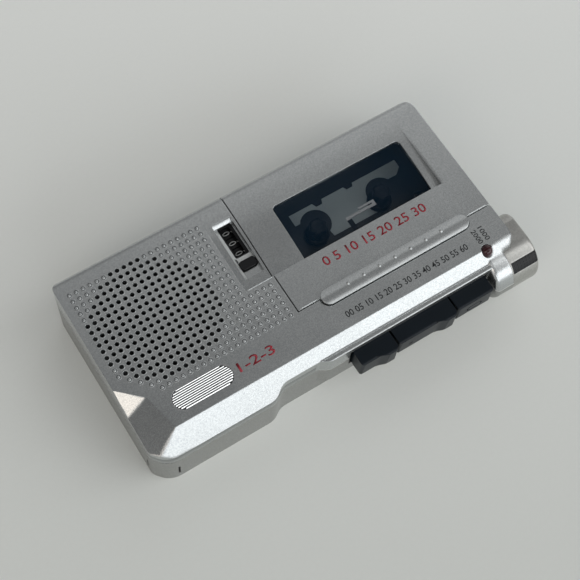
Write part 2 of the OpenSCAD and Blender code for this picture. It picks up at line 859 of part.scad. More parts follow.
module window_plan(grow) {
    round_rect(window_cx - window_len / 2 - grow, window_y0 - grow, window_cx + window_len / 2 + grow,
        window_y1 + grow, [0.3, 0.3, window_corner_r, window_corner_r]);
}

module lid_grip() {
    intersection() {
        slab(top - lid_t, top + 2) stadium(grip_cx, grip_y, grip_len, grip_wid);
        rod_x(lid_x0, right, grip_y, top + grip_h - grip_dome_r, grip_dome_r);
    }
    for (k = [0:grip_dots - 1])
        translate([grip_cx + (k - (grip_dots - 1) / 2) * grip_dot_pitch, grip_y + 0.4, top + grip_h - 0.1])
            sphere(grip_dot_r, $fn = 24);
}

module cassette_lid() {
    color("silver") difference() {
        union() {
            intersection() {
                slab(0, top + 1) plan(0);
                union() {
                    box(lid_x0, right + 1, lid_y0, hinge_y, top - lid_t, top);
                    rod_x(lid_x0, right + 1, hinge_y, hinge_z, roll_r);
                    difference() {
                        box(lid_x0, dip_x1 + dip_shell, dip_y0 - dip_shell, dip_y1, dip_floor, top - eps);
                        intersection() {
                            dip_cylinder(dip_shell);
                            box(left, right, dip_y0, dip_y1 + 1, 0, top);
                        }
                    }
                }
            }
            lid_grip();
        }
        dip_cut(lid_x0 - 1, dip_x1);
        slab(0, top + 1) window_plan(0);
        intersection() {
            slab(0, top + 1) window_plan(window_flange);
            dip_cylinder(dip_shell);
        }
        rod_x(lid_x0 - 1, right - 2.2, hinge_y, hinge_z, hinge_pin_r + run_gap);
        lug_room();
    }
}

module lid_window() {
    color("darkslategray") {
        difference() {
            intersection() {
                slab(0, top + 1) window_plan(0);
                dip_cylinder(0.1);
            }
            dip_cylinder(dip_shell + 0.1);
        }
        difference() {
            intersection() {
                slab(0, top + 1) window_plan(window_flange);
                dip_cylinder(dip_shell);
            }
            dip_cylinder(dip_shell + 0.6);
        }
    }
}

// Leaf spring under the lid: an arm with two fingers along the window that hold a cassette down
module lid_spring() {
    t = 0.3;
    finger_z = dip_floor - 1.1;
    arm_x = reel_cx - 3.6;
    finger_x1 = reel_cx + 6.2;
    finger_y = dip_y0 + 5.4;
    color("gainsboro") {
        box(reel_cx - 7, reel_cx + 7, dip_y0 - 6, dip_y0 - 1.6, top - lid_t - t, top - lid_t);
        box(reel_cx - 7, reel_cx + 7, dip_y0 - 1.6, dip_y0 - 1.3, finger_z, top - lid_t);
        box(arm_x, arm_x + 1.4, dip_y0 - 1.6, finger_y + 0.8, finger_z, finger_z + t);
        box(arm_x, finger_x1, finger_y, finger_y + 0.8, finger_z, finger_z + t);
        box(finger_x1 - 0.8, finger_x1, finger_y, finger_y + 1.8, finger_z, finger_z + t);
        box(reel_cx + 1.1, finger_x1, finger_y + 1.2, finger_y + 1.8, finger_z, finger_z + t);
    }
}

module hinge_pin() {
    color("gainsboro") rod_x(lid_x0 + 2, right - 2.5, hinge_y, hinge_z, hinge_pin_r);
}

module counter_frame() {
    x0 = wheel_x - wheel_r - 0.9;
    y0 = wheel_y - wheel_pitch - wheel_w / 2 - 0.2;
    y1 = wheel_y + wheel_pitch + wheel_w / 2 + 0.2;
    color("black") difference() {
        union() {
            box(x0, wheel_x + 2, y0 - frame_plate_t, y0, wheel_z - 2, tray_under);
            box(x0, wheel_x + 2, y1, y1 + frame_plate_t, wheel_z - 2, tray_under);
            box(x0 - 0.8, x0, y0 - frame_plate_t, y1 + frame_plate_t, wheel_z - 2, tray_under);
        }
        rod_y(wheel_x, y0 - 5, y1 + 5, wheel_z, 0.8);
    }
}

module counter_axle() {
    y0 = wheel_y - wheel_pitch - wheel_w / 2 - 0.2 - frame_plate_t;
    color("gainsboro") rod_y(wheel_x, y0, 2 * wheel_y - y0, wheel_z, 0.8);
}

module counter_wheel(k) {
    y = wheel_y + k * wheel_pitch;
    color("black") difference() {
        rod_y(wheel_x, y - wheel_w / 2, y + wheel_w / 2, wheel_z, wheel_r);
        rod_y(wheel_x, y - wheel_w, y + wheel_w, wheel_z, 0.8 + run_gap);
    }
}

module hundreds_wheel() {
    counter_wheel(1);
}

module tens_wheel() {
    counter_wheel(0);
}

module units_wheel() {
    counter_wheel(-1);
}

module reset_button() {
    w = reset_size[0] / 2;
    d = reset_size[1] / 2;
    color("black") {
        slab(tray_under - 1.2, tray_floor + 1) round_rect(reset_x - w, reset_y - d, reset_x + w, reset_y + d,
            [0.7, 0.7, 0.7, 0.7]);
        box(reset_x - w - reset_lip, reset_x + w + reset_lip,
            reset_y - d - reset_lip, reset_y + d + reset_lip, tray_under - 1.2, tray_under - 0.4);
        box(reset_x - 1, reset_x + 1, reset_y - 0.7, reset_y + 0.7, wheel_z - 1, tray_under - 1);
    }
}

// Section of a key cap behind a front face, its top and bottom edges rounded
module key_section(y) {
    difference() {
        translate([y, key_bottom]) square([key_collar_y + eps - y, key_h]);
        corner(y, key_top, 1, -1, key_edge_r);
        corner(y, key_bottom, 1, 1, key_foot_r);
    }
}

// Plan of the finger ridge at the end of a key: a smooth ramp, a short flat and a round end
module nub_plan(x1) {
    ramp = [for (k = [0:8]) let (t = k / 8)
        [x1 - nub_len + t * nub_ramp, key_face_y - nub_reach * t * t * (3 - 2 * t)]];
    end = [for (k = [0:6]) let (a = 15 * k)
        [x1 - nub_end_r * (1 - sin(a)), key_face_y - nub_reach + nub_end_r * (1 - cos(a))]];
    polygon(concat(ramp, end, [[x1, key_face_y + 2], [x1 - nub_len, key_face_y + 2]]));
}

// A key cap with its stem and the collar that keeps it in
module key(x0, x1, stem_x0, stem_x1, stem_y, ridged) {
    color("darkslategray") {
        intersection() {
            slab(key_bottom, key_top) round_rect(x0, key_face_y, x1, key_collar_y + eps,
                [key_corner_r, key_corner_r, eps, eps]);
            along_x(x0 - 1, x1 + 1) key_section(key_face_y);
        }
        if (ridged) intersection() {
            slab(key_bottom, key_top) nub_plan(x1);
            along_x(x0 - 1, x1 + 1) key_section(key_face_y - nub_reach);
        }
        box(x0, x1, key_collar_y, key_collar_y + key_collar_t, deck_top + 0.3, key_top + 1.2);
        box(stem_x0, stem_x1, key_collar_y, stem_y, deck_top + 0.3, deck_top + 2.6);
    }
}

module stop_key() {
    key(keys_x0, keys_x0 + stop_key_w, keys_x0 + 2.5, keys_x0 + 9, short_stem_y, true);
}

module play_key() {
    x0 = keys_x0 + stop_key_w + key_gap;
    key(x0, x0 + play_key_w, x0 + 3, x0 + 15, plate_y0 - 0.3, true);
}

module record_key() {
    x0 = keys_x0 + stop_key_w + play_key_w + 2 * key_gap;
    color("darkslategray") difference() {
        key(x0, keys_x1, x0 + 2.6, x0 + 7, short_stem_y, false);
        ring_mark(x0 + (keys_x1 - x0) / 2);
    }
}

// Shallow oval ring on the face of the record key
module ring_mark(x) {
    z = key_bottom + key_h * 0.42;
    translate([x, key_face_y + 0.45, z]) rotate([90, 0, 0]) linear_extrude(3) difference() {
        stadium(0, 0, 5, 2.6);
        stadium(0, 0, 4.3, 1.9);
    }
}

module deck_plate() {
    color("lightgray") {
        difference() {
            union() {
                box(deck_x0, bay_x1 + 0.4, dip_y0 - 14, bay_y1 + bay_wall, deck_z, deck_top);
                box(deck_x0, bay_x1 - 4, dip_y0 - 21.4, dip_y0 - 13, deck_z, deck_top);
                for (x = plate_pin_x) post(x, plate_pin_y, deck_z, plate_z1 + 0.6, plate_pin_r);
            }
            for (x = [supply_x, takeup_x]) post(x, reel_y, 0, top, spindle_r + run_gap);
            post(capstan_x, capstan_y, 0, top, 2);
            post(motor_x, motor_y, 0, top, motor_shaft_r + 0.5);
            for (p = deck_post_at) post(p[0], p[1], 0, top, deck_screw_r);
            for (p = screw_at) post(p[0], p[1], 0, top, screw_boss_r + 0.3);
        }
        post(idler_x, idler_y, disc_z0 - 0.5, deck_z + eps, 0.8);
        post(idler_x, idler_y, disc_z0 - 0.5, disc_z0 - 0.1, 1.5);
    }
}

module head_plate() {
    color("gainsboro") {
        difference() {
            box(plate_x0, plate_x1, plate_y0, plate_y1, plate_z0, plate_z1);
            for (x = plate_pin_x) {
                box(x - plate_slot_r, x + plate_slot_r, plate_slot_y, plate_pin_y, 0, top);
                post(x, plate_pin_y, 0, top, plate_slot_r);
                post(x, plate_slot_y, 0, top, plate_slot_r);
            }
        }
        post(capstan_x, roller_y, plate_z0, plate_z1 + 5.8, 0.7);
        post(capstan_x, roller_y, plate_z1 - eps, plate_z1 + 0.3, 1.2);
    }
}

module record_head() {
    color("silver") difference() {
        box(reel_cx - 3.5, reel_cx + 3.5, dip_y0 - 15.2, dip_y0 - 11.6, plate_z1, plate_z1 + 6.8);
        box(reel_cx - 0.3, reel_cx + 0.3, dip_y0 - 12, dip_y0 - 11, plate_z1 + 1, plate_z1 + 6);
    }
}

module erase_head() {
    color("dimgray") box(reel_cx - 11, reel_cx - 7, dip_y0 - 15, dip_y0 - 12, plate_z1, plate_z1 + 5.5);
}

module pinch_roller() {
    color("black") difference() {
        post(capstan_x, roller_y, plate_z1 + 0.4, plate_z1 + 5.2, roller_r);
        post(capstan_x, roller_y, 0, top, 0.7 + run_gap);
    }
}

module capstan_bearing() {
    color("goldenrod") difference() {
        post(capstan_x, capstan_y, deck_z, deck_top + 1, 2);
        post(capstan_x, capstan_y, 0, top, capstan_r + run_gap);
    }
}

module capstan_shaft() {
    color("gainsboro") post(capstan_x, capstan_y, 2.5, capstan_top, capstan_r);
}

module flywheel() {
    color("goldenrod") difference() {
        union() {
            post(capstan_x, capstan_y, 4.6, belt_z0 - 0.2, flywheel_r);
            post(capstan_x, capstan_y, 4.6, 7.4, flywheel_groove_r);
            post(capstan_x, capstan_y, belt_z1 + 0.2, 7.4, flywheel_r);
            post(capstan_x, capstan_y, 7, disc_z1, hub_r);
        }
        post(capstan_x, capstan_y, 0, top, capstan_r);
    }
}

module drive_motor() {
    color("silver") difference() {
        post(motor_x, motor_y, deck_top, deck_top + motor_h, motor_r);
        post(motor_x, motor_y, 0, deck_top + 4, motor_shaft_r + run_gap);
    }
}

module motor_pulley() {
    color("goldenrod") {
        post(motor_x, motor_y, 5, deck_top + 3.8, motor_shaft_r);
        post(motor_x, motor_y, 5, belt_z0 - 0.2, pulley_groove_r + 0.8);
        post(motor_x, motor_y, 5, 8.8, pulley_groove_r);
        post(motor_x, motor_y, belt_z1 + 0.2, 8.8, pulley_groove_r + 0.8);
    }
}

// Solid loop round the pulley and the flywheel
module belt_loop(grow, z0, z1) {
    r0 = pulley_groove_r + belt_clear + grow;
    r1 = flywheel_groove_r + belt_clear + grow;
    a = [motor_x, motor_y];
    b = [capstan_x, capstan_y];
    dist = norm(b - a);
    heading = atan2(b[1] - a[1], b[0] - a[0]);
    lean = acos((r0 - r1) / dist);
    up = [cos(heading + lean), sin(heading + lean)];
    down = [cos(heading - lean), sin(heading - lean)];
    t0 = r0 * belt_tuck;
    t1 = r1 * belt_tuck;
    post(a[0], a[1], z0, z1, r0);
    post(b[0], b[1], z0, z1, r1);
    slab(z0, z1) polygon([a + up * t0, b + up * t1, b + down * t1, a + down * t0]);
}

module drive_belt() {
    color("black") difference() {
        belt_loop(belt_t, belt_z0, belt_z1);
        belt_loop(0, belt_z0 - 1, belt_z1 + 1);
    }
}

module idler_wheel() {
    color("dimgray") difference() {
        post(idler_x, idler_y, disc_z0, disc_z1 - 0.1, idler_r);
        post(idler_x, idler_y, 0, top, 0.8 + run_gap);
    }
}

// Reel spindle with three fins, and the drive disc under the deck
module spindle(x) {
    post(x, reel_y, disc_z0, disc_z1, spindle_disc_r);
    post(x, reel_y, disc_z0, spindle_top, spindle_r);
    post(x, reel_y, deck_top + 0.15, deck_top + 0.9, 3.6);
    for (a = [90, 210, 330]) translate([x, reel_y, deck_top + 0.5]) rotate([0, 0, a])
        translate([0, -0.4, 0]) cube([2.5, 0.8, spindle_top - deck_top - 0.5]);
}

module supply_spindle() {
    color("dimgray") spindle(supply_x);
}

module takeup_spindle() {
    color("dimgray") spindle(takeup_x);
}

module circuit_board() {
    x0 = battery_wall_x + battery_wall_t + 0.3;
    color("olivedrab") difference() {
        union() {
            box(x0, lid_x0 + 1, recess_y + wall + 0.4, back_y - wall - 0.4, board_z0, board_z1);
            box(lid_x0, switch_x[1] + 8, back_y - 10.5, back_y - wall - 0.4, board_z0, board_z1);
            box(dial_x - 2.75, dial_x + 3.25, dip_y0 - 2, dip_y0 + 4, board_z1 - eps, board_z1 + 1.6);
            for (y = [-6, -2, 2]) post(dial_x + 6.25, dip_y0 + y, board_z1 - eps, board_z1 + 3, 1.6);
        }
        for (p = screw_at) post(p[0], p[1], 0, top, screw_boss_r + 0.3);
        box(x0 - 1, screw_at[0][0] + screw_boss_r, front_y, screw_at[0][1], 0, top);
        for (p = deck_post_at) post(p[0], p[1], 0, top, deck_post_r + 0.3);
    }
}

module volume_pot() {
    color("tan") {
        box(dial_x - 4, dial_x + 4, dial_y - 4, dial_y + 4, board_z1, dial_z0 - 0.2);
        post(dial_x, dial_y, board_z1, dial_z1 + 0.6, 1.2);
    }
}

module volume_dial() {
    notches = 40;
    color("black") difference() {
        post(dial_x, dial_y, dial_z0, dial_z1, dial_r);
        post(dial_x, dial_y, 0, top, 1.2 + run_gap);
        for (k = [0:notches - 1]) translate([dial_x, dial_y, 0]) rotate([0, 0, k * 360 / notches])
            translate([dial_r, 0, 0]) rotate([0, 0, 45]) translate([-0.25, -0.25, 0]) cube([0.5, 0.5, top]);
    }
}

module slide_switch(x) {
    cx = x + switch_travel / 2;
    color("silver") box(cx - 5, cx + 5, back_y - 6.6, back_y - 2.8, board_z1, 7.2);
}

module slide_knob(x) {
    color("black") {
        box(x - knob_half_x, x + knob_half_x, back_y - 2.4, back_y + 0.9, knob_z0, knob_z1);
        box(x - knob_half_x - 0.8, x + knob_half_x + 0.8, back_y - 2.6, back_y - wall - 0.3, knob_z0 - 0.6,
            knob_z1 + 0.6);
    }
}

module voice_switch() {
    slide_switch(switch_x[0]);
}

module voice_knob() {
    slide_knob(switch_x[0]);
}

module speed_switch() {
    slide_switch(switch_x[1]);
}

module speed_knob() {
    slide_knob(switch_x[1]);
}

module jack(y, len, bore_r) {
    difference() {
        union() {
            box(right - wall - len, right - wall, y - 3, y + 3, jack_z - 3.2, jack_z + 3.2);
            rod_x(right - wall - eps, right, y, jack_z, jack_nose_r);
        }
        rod_x(right - len, right + 1, y, jack_z, bore_r);
    }
}

module earphone_jack() {
    color("dimgray") jack(earphone_y, jack_len, jack_bore_d / 2);
}

module microphone_jack() {
    color("firebrick") jack(microphone_y, jack_len, jack_bore_d / 2);
}

module power_jack() {
    color("goldenrod") {
        jack(power_y, power_len, 1.7);
        rod_x(right - power_len - 0.2, right - 1, power_y, jack_z, 0.5);
    }
}

module cabinet_screws() {
    color("gainsboro") for (i = [0:3]) difference() {
        union() {
            post(screw_at[i][0], screw_at[i][1], screw_seat_z - 1.4, screw_seat_z, screw_head_r);
            post(screw_at[i][0], screw_at[i][1], screw_seat_z - 1.4, screw_end[i], screw_r);
        }
        for (a = [0, 90]) translate([screw_at[i][0], screw_at[i][1], screw_seat_z - 1.4]) rotate([0, 0, a])
            cube([2.2, 0.5, 1.4], center = true);
    }
}

module deck_screws() {
    color("gainsboro") for (p = deck_post_at) {
        post(p[0], p[1], 5, deck_top + 0.2, deck_screw_r);
        post(p[0], p[1], deck_top, deck_top + 0.8, 1.4);
    }
}

front_cabinet();
rear_cabinet();
battery_door();
battery_cells();
battery_contacts();
speaker_frame();
speaker_magnet();
speaker_cone();
ribbed_badge();
record_lamp();
microphone_cap();
microphone_screen();
microphone_capsule();
microphone_grommet();
cassette_lid();
lid_window();
lid_spring();
hinge_pin();
counter_frame();
counter_axle();
hundreds_wheel();
tens_wheel();
units_wheel();
reset_button();
stop_key();
play_key();
record_key();
deck_plate();
head_plate();
record_head();
erase_head();
pinch_roller();
capstan_bearing();
capstan_shaft();
flywheel();
drive_motor();
motor_pulley();
drive_belt();
idler_wheel();
supply_spindle();
takeup_spindle();
circuit_board();
volume_pot();
volume_dial();
voice_switch();
voice_knob();
speed_switch();
speed_knob();
earphone_jack();
microphone_jack();
power_jack();
cabinet_screws();
deck_screws();
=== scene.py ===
import math

import bmesh
import bpy
from mathutils import Matrix, Vector


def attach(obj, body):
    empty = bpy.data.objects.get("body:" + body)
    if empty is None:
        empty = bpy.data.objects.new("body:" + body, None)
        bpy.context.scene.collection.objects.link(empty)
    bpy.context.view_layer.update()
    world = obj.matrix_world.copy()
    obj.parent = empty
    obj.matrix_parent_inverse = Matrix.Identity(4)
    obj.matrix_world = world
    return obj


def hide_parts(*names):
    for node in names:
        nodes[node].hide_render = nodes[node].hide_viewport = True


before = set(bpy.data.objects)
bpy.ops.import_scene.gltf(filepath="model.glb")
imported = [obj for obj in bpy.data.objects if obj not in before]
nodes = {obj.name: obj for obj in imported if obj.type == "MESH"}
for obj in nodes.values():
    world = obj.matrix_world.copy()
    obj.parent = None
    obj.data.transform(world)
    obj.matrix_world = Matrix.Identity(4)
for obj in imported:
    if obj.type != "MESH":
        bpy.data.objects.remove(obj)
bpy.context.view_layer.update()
scene = bpy.context.scene
mm = 0.001
noiseLow, noiseHigh = 0.3, 0.7   # where most of a noise texture's values lie
print("frame loaded:", len(nodes), "nodes")


def hexColour(code):
    channels = [int(code[i:i + 2], 16) / 255 for i in (0, 2, 4)]
    return (*[c / 12.92 if c <= 0.04045 else ((c + 0.055) / 1.055) ** 2.4 for c in channels], 1.0)


def addNode(tree, kind, settings=None, links=None):
    node = tree.nodes.new(kind)
    for key, value in (settings or {}).items():
        if isinstance(key, str) and hasattr(node, key):
            setattr(node, key, value)
        else:
            node.inputs[key].default_value = value
    for key, source in (links or {}).items():
        tree.links.new(source, node.inputs[key])
    return node


def startMaterial(name):
    material = bpy.data.materials.new(name)
    material.use_nodes = True
    tree = material.node_tree
    place = addNode(tree, "ShaderNodeTexCoord").outputs["Object"]
    return material, tree, tree.nodes["Principled BSDF"], place


def grainMaterial(look):
    # two tones broken up by a fine grain and a slow cloud, the same pair driving sheen and relief
    cloudShare, bumpDepth, plainEdge = 0.45, 0.05 * mm, 0.12 * mm
    material, tree, shader, place = startMaterial(look["name"])
    grain = addNode(tree, "ShaderNodeTexNoise",
                    {"Scale": 1 / look["grain"], "Detail": 3.0, "Roughness": 0.6}, {"Vector": place})
    if look.get("stretch"):
        brushed = addNode(tree, "ShaderNodeMapping", {"Scale": look["stretch"]}, {"Vector": place})
        tree.links.new(brushed.outputs["Vector"], grain.inputs["Vector"])
    cloud = addNode(tree, "ShaderNodeTexNoise", {"Scale": 1 / look["cloud"], "Detail": 2.0}, {"Vector": place})
    share = addNode(tree, "ShaderNodeMix", {"data_type": "FLOAT", "Factor": cloudShare},
                    {"A": grain.outputs["Fac"], "B": cloud.outputs["Fac"]}).outputs[0]
    mixed = share
    if look.get("lightFade"):
        # painted light: the tone grows paler along one direction, for the light that falls more on the table's
        # far side
        lightFade = look["lightFade"]
        along = addNode(tree, "ShaderNodeVectorMath", {"operation": "DOT_PRODUCT", 1: lightFade["way"]}, {0: place})
        drift = addNode(tree, "ShaderNodeMapRange", {"From Min": -lightFade["reach"], "From Max": lightFade["reach"]},
                        {"Value": along.outputs["Value"]})
        mixed = addNode(tree, "ShaderNodeMix", {"data_type": "FLOAT", "Factor": lightFade["share"]},
                        {"A": share, "B": drift.outputs["Result"]}).outputs[0]
    tone = addNode(tree, "ShaderNodeMix",
                   {"data_type": "RGBA", 6: hexColour(look["dark"]), 7: hexColour(look["light"])},
                   {"Factor": mixed})
    sheen = addNode(tree, "ShaderNodeMapRange",
                    {"From Min": noiseLow, "From Max": noiseHigh, "To Min": look["rough"][0],
                     "To Max": look["rough"][1]}, {"Value": share})
    softened = addNode(tree, "ShaderNodeBevel", {"samples": 4, "Radius": look.get("edge", plainEdge)})
    relief = addNode(tree, "ShaderNodeBump", {"Strength": look["relief"], "Distance": bumpDepth},
                     {"Height": grain.outputs["Fac"], "Normal": softened.outputs["Normal"]})
    tree.links.new(tone.outputs[2], shader.inputs["Base Color"])
    tree.links.new(sheen.outputs["Result"], shader.inputs["Roughness"])
    tree.links.new(relief.outputs["Normal"], shader.inputs["Normal"])
    shader.inputs["Metallic"].default_value = look["metal"]
    shader.inputs["IOR"].default_value = look["ior"]
    for key, value in look.get("more", {}).items():
        shader.inputs[key].default_value = value
    return material


def flakeMaterial(look):
    # aluminium flake lacquer: each flake tips a little, so the sheen breaks into fine sparkle
    cloudShare, bumpDepth = 0.35, 0.03 * mm
    material, tree, shader, place = startMaterial(look["name"])
    axes = addNode(tree, "ShaderNodeSeparateXYZ", {}, {"Vector": place})
    flake = addNode(tree, "ShaderNodeTexVoronoi", {"Scale": 1 / look["flake"]}, {"Vector": place})
    cell = addNode(tree, "ShaderNodeSeparateColor", {}, {"Color": flake.outputs["Color"]})
    cloud = addNode(tree, "ShaderNodeTexNoise", {"Scale": 1 / look["cloud"], "Detail": 3.0}, {"Vector": place})
    share = addNode(tree, "ShaderNodeMix", {"data_type": "FLOAT", "Factor": cloudShare},
                    {"A": cell.outputs["Red"], "B": cloud.outputs["Fac"]})
    paint = addNode(tree, "ShaderNodeMix",
                    {"data_type": "RGBA", 6: hexColour(look["dark"]), 7: hexColour(look["light"])},
                    {"Factor": share.outputs[0]}).outputs[2]
    sheen = addNode(tree, "ShaderNodeMapRange",
                    {"From Min": noiseLow, "From Max": noiseHigh, "To Min": look["rough"][0],
                     "To Max": look["rough"][1]}, {"Value": cloud.outputs["Fac"]})
    softened = addNode(tree, "ShaderNodeBevel", {"samples": 6, "Radius": look["edge"]})
    relief = addNode(tree, "ShaderNodeBump", {"Strength": look["relief"], "Distance": bumpDepth},
                     {"Height": cell.outputs["Green"], "Normal": softened.outputs["Normal"]})
    if look.get("softSpots"):
        # the mould rounds some edges more: the slope's ends, the corner facet and the dip's far wall
        widest = None
        for spot, near, far in look["softSpots"]:
            away = addNode(tree, "ShaderNodeVectorMath",
                           {"operation": "DISTANCE", 1: [c * mm for c in spot]}, {0: place})
            radius = addNode(tree, "ShaderNodeMapRange",
                             {"From Min": near * mm, "From Max": far * mm, "To Min": look["softRadius"],
                              "To Max": look["edge"]}, {"Value": away.outputs["Value"]}).outputs["Result"]
            if widest:
                radius = addNode(tree, "ShaderNodeMath", {"operation": "MAXIMUM"},
                                 {0: widest, 1: radius}).outputs[0]
            widest = radius
        tree.links.new(widest, softened.inputs["Radius"])
    if look.get("jointHighlight"):
        # painted highlight: the lacquer is painted bright along the joint of the two halves, for the light
        # caught by the joint's edge
        isJointLit = addNode(tree, "ShaderNodeMath", {"operation": "GREATER_THAN", 1: look["jointHighlight"]["above"]},
                           {0: axes.outputs["Z"]})
        paint = addNode(tree, "ShaderNodeMix", {"data_type": "RGBA", 7: hexColour(look["jointHighlight"]["bright"])},
                        {"Factor": isJointLit.outputs[0], 6: paint}).outputs[2]
    if look.get("wallShade"):
        # painted shade: the lacquer on the wall under the slope is darkened towards the slope, for the shade
        # under the slope's edge
        wallShade = look["wallShade"]
        shade = addNode(tree, "ShaderNodeMapRange",
                        {"From Min": wallShade["foot"], "From Max": wallShade["top"], "To Min": wallShade["shade"][0],
                         "To Max": wallShade["shade"][1]}, {"Value": axes.outputs["Z"]})
        isWall = addNode(tree, "ShaderNodeMath", {"operation": "LESS_THAN", 1: wallShade["top"]},
                         {0: axes.outputs["Z"]})
        isHump = addNode(tree, "ShaderNodeMath", {"operation": "LESS_THAN", 1: wallShade["end"]},
                         {0: axes.outputs["X"]})
        where = addNode(tree, "ShaderNodeMath", {"operation": "MULTIPLY"},
                        {0: isWall.outputs[0], 1: isHump.outputs[0]})
        depth = addNode(tree, "ShaderNodeMath", {"operation": "MULTIPLY"},
                        {0: where.outputs[0], 1: shade.outputs["Result"]})
        paint = addNode(tree, "ShaderNodeMix", {"data_type": "RGBA", 7: hexColour(wallShade["dark"])},
                        {"Factor": depth.outputs[0], 6: paint}).outputs[2]
    tree.links.new(paint, shader.inputs["Base Color"])
    tree.links.new(sheen.outputs["Result"], shader.inputs["Roughness"])
    tree.links.new(relief.outputs["Normal"], shader.inputs["Normal"])
    shader.inputs["Metallic"].default_value = look["metal"]
    shader.inputs["IOR"].default_value = look["ior"]
    return material


# silver flake lacquer on moulded ABS: mid grey, satin, with a faint sparkle
silverPaint = flakeMaterial({
    "name": "silver_flake_lacquer", "dark": "a9adae", "light": "c6c9c9", "flake": 0.22 * mm, "cloud": 14 * mm,
    "rough": (0.19, 0.25), "relief": 0.08, "edge": 0.25 * mm, "metal": 0.9, "ior": 1.5, "softRadius": 1.4 * mm,
    # place of each spot in mm, and the distances at which the softening starts to fade and ends
    "softSpots": ([((-51.5, -26.5, 18), 3, 7), ((54.5, -24.5, 20.5), 3, 7), ((-54, -13.5, 21), 1.5, 5)]
                  + [((49.5, 1 + 2.5 * k, 21.8), 1.3, 2.7) for k in range(7)]),
    # painted shade: darkens the front wall under the slope towards the slope
    "wallShade": {"foot": 13.5 * mm, "top": 16.68 * mm, "end": -8 * mm, "shade": (0.1, 0.75), "dark": "4e5254"}})
# the same lacquer on the rear half, a shade warmer and less polished by handling
rearPaint = flakeMaterial({
    "name": "rear_flake_lacquer", "dark": "8f908f", "light": "aeafad", "flake": 0.24 * mm, "cloud": 12 * mm,
    "rough": (0.36, 0.44), "relief": 0.14, "edge": 0.14 * mm, "metal": 0.85, "ior": 1.5,
    # painted highlight: a bright band along the top edge of the rear half, at the joint
    "jointHighlight": {"above": 13.25 * mm, "bright": "e6e7e6"}})
# paler, less metallic lacquer on the counter's liner
paleLacquer = flakeMaterial({
    "name": "pale_lacquer", "dark": "c4c8c8", "light": "dcdfde", "flake": 0.2 * mm, "cloud": 6 * mm,
    "rough": (0.3, 0.38), "relief": 0.08, "edge": 0.1 * mm, "metal": 0.25, "ior": 1.5})
# vacuum-coated cap over the microphone: an even satin metal with hardly any relief
capPaint = flakeMaterial({
    "name": "coated_cap", "dark": "a3a3a0", "light": "bcbcb8", "flake": 0.3 * mm, "cloud": 9 * mm,
    "rough": (0.26, 0.32), "relief": 0.02, "edge": 0.3 * mm, "metal": 0.95, "ior": 1.5})
# carbon-black ABS with a fine spark-eroded texture
blackPlastic = grainMaterial({
    "name": "black_abs", "dark": "0d0e0f", "light": "191b1d", "grain": 0.16 * mm, "cloud": 8 * mm,
    "rough": (0.30, 0.42), "relief": 0.20, "metal": 0.0, "ior": 1.53, "more": {"Specular IOR Level": 0.25}})
# smoother blue-black ABS of the keys, worn satin where thumbs press
keyPlastic = grainMaterial({
    "name": "key_abs", "dark": "080f15", "light": "101a22", "grain": 0.3 * mm, "cloud": 7 * mm,
    "rough": (0.28, 0.36), "relief": 0.05, "metal": 0.0, "ior": 1.5, "edge": 0.4 * mm,
    "more": {"Specular IOR Level": 0.2}})
# red ABS collar of the microphone socket
redPlastic = grainMaterial({
    "name": "red_abs", "dark": "7d1414", "light": "a51d1b", "grain": 0.2 * mm, "cloud": 5 * mm,
    "rough": (0.3, 0.42), "relief": 0.1, "metal": 0.0, "ior": 1.53})
# nickel-plated sheet steel, drawn so that its grain runs along X
steel = grainMaterial({
    "name": "nickel_steel", "dark": "9a9ba0", "light": "c6c8cb", "grain": 0.35 * mm, "cloud": 6 * mm,
    "stretch": (0.08, 1.0, 1.0), "rough": (0.16, 0.28), "relief": 0.06, "metal": 1.0, "ior": 1.5})
# sheet steel of the tape deck under its black oxide, which is part metal to the eye
deckSteel = grainMaterial({
    "name": "black_oxide_steel", "dark": "15181a", "light": "24282a", "grain": 0.3 * mm, "cloud": 9 * mm,
    "rough": (0.38, 0.5), "relief": 0.12, "metal": 0.6, "ior": 2.3})
# black stove enamel on the speaker's pressed frame
frameLacquer = grainMaterial({
    "name": "black_enamel", "dark": "0a0a0b", "light": "141415", "grain": 0.3 * mm, "cloud": 6 * mm,
    "rough": (0.4, 0.55), "relief": 0.1, "metal": 0.0, "ior": 1.5})
# turned brass of flywheel, bearing and pulley
brass = grainMaterial({
    "name": "turned_brass", "dark": "a9853f", "light": "cfae62", "grain": 0.25 * mm, "cloud": 6 * mm,
    "rough": (0.2, 0.32), "relief": 0.08, "metal": 1.0, "ior": 1.5})
# matt nitrile rubber
rubber = grainMaterial({
    "name": "nitrile_rubber", "dark": "131313", "light": "232221", "grain": 0.2 * mm, "cloud": 5 * mm,
    "rough": (0.62, 0.78), "relief": 0.22, "metal": 0.0, "ior": 1.52})
# phenolic body of the volume control
potBody = grainMaterial({
    "name": "phenolic_resin", "dark": "33241a", "light": "4b3525", "grain": 0.4 * mm, "cloud": 4 * mm,
    "rough": (0.4, 0.55), "relief": 0.15, "metal": 0.0, "ior": 1.6})
# sintered ferrite, dull dark grey
ferrite = grainMaterial({
    "name": "sintered_ferrite", "dark": "26272a", "light": "3c3d40", "grain": 0.25 * mm, "cloud": 5 * mm,
    "rough": (0.5, 0.66), "relief": 0.25, "metal": 0.2, "ior": 2.2})
# pulp cone paper with fibres
conePaper = grainMaterial({
    "name": "pulp_cone", "dark": "100f0e", "light": "211f1c", "grain": 0.5 * mm, "cloud": 4 * mm,
    "rough": (0.75, 0.9), "relief": 0.4, "metal": 0.0, "ior": 1.45})
# plate round the reels: zinc under a dull grey passivated skin
platePaint = grainMaterial({
    "name": "zinc_plate", "dark": "b2c1c3", "light": "cad8d8", "grain": 0.3 * mm, "cloud": 8 * mm,
    "rough": (0.4, 0.52), "relief": 0.08, "metal": 0.2, "ior": 2.4})
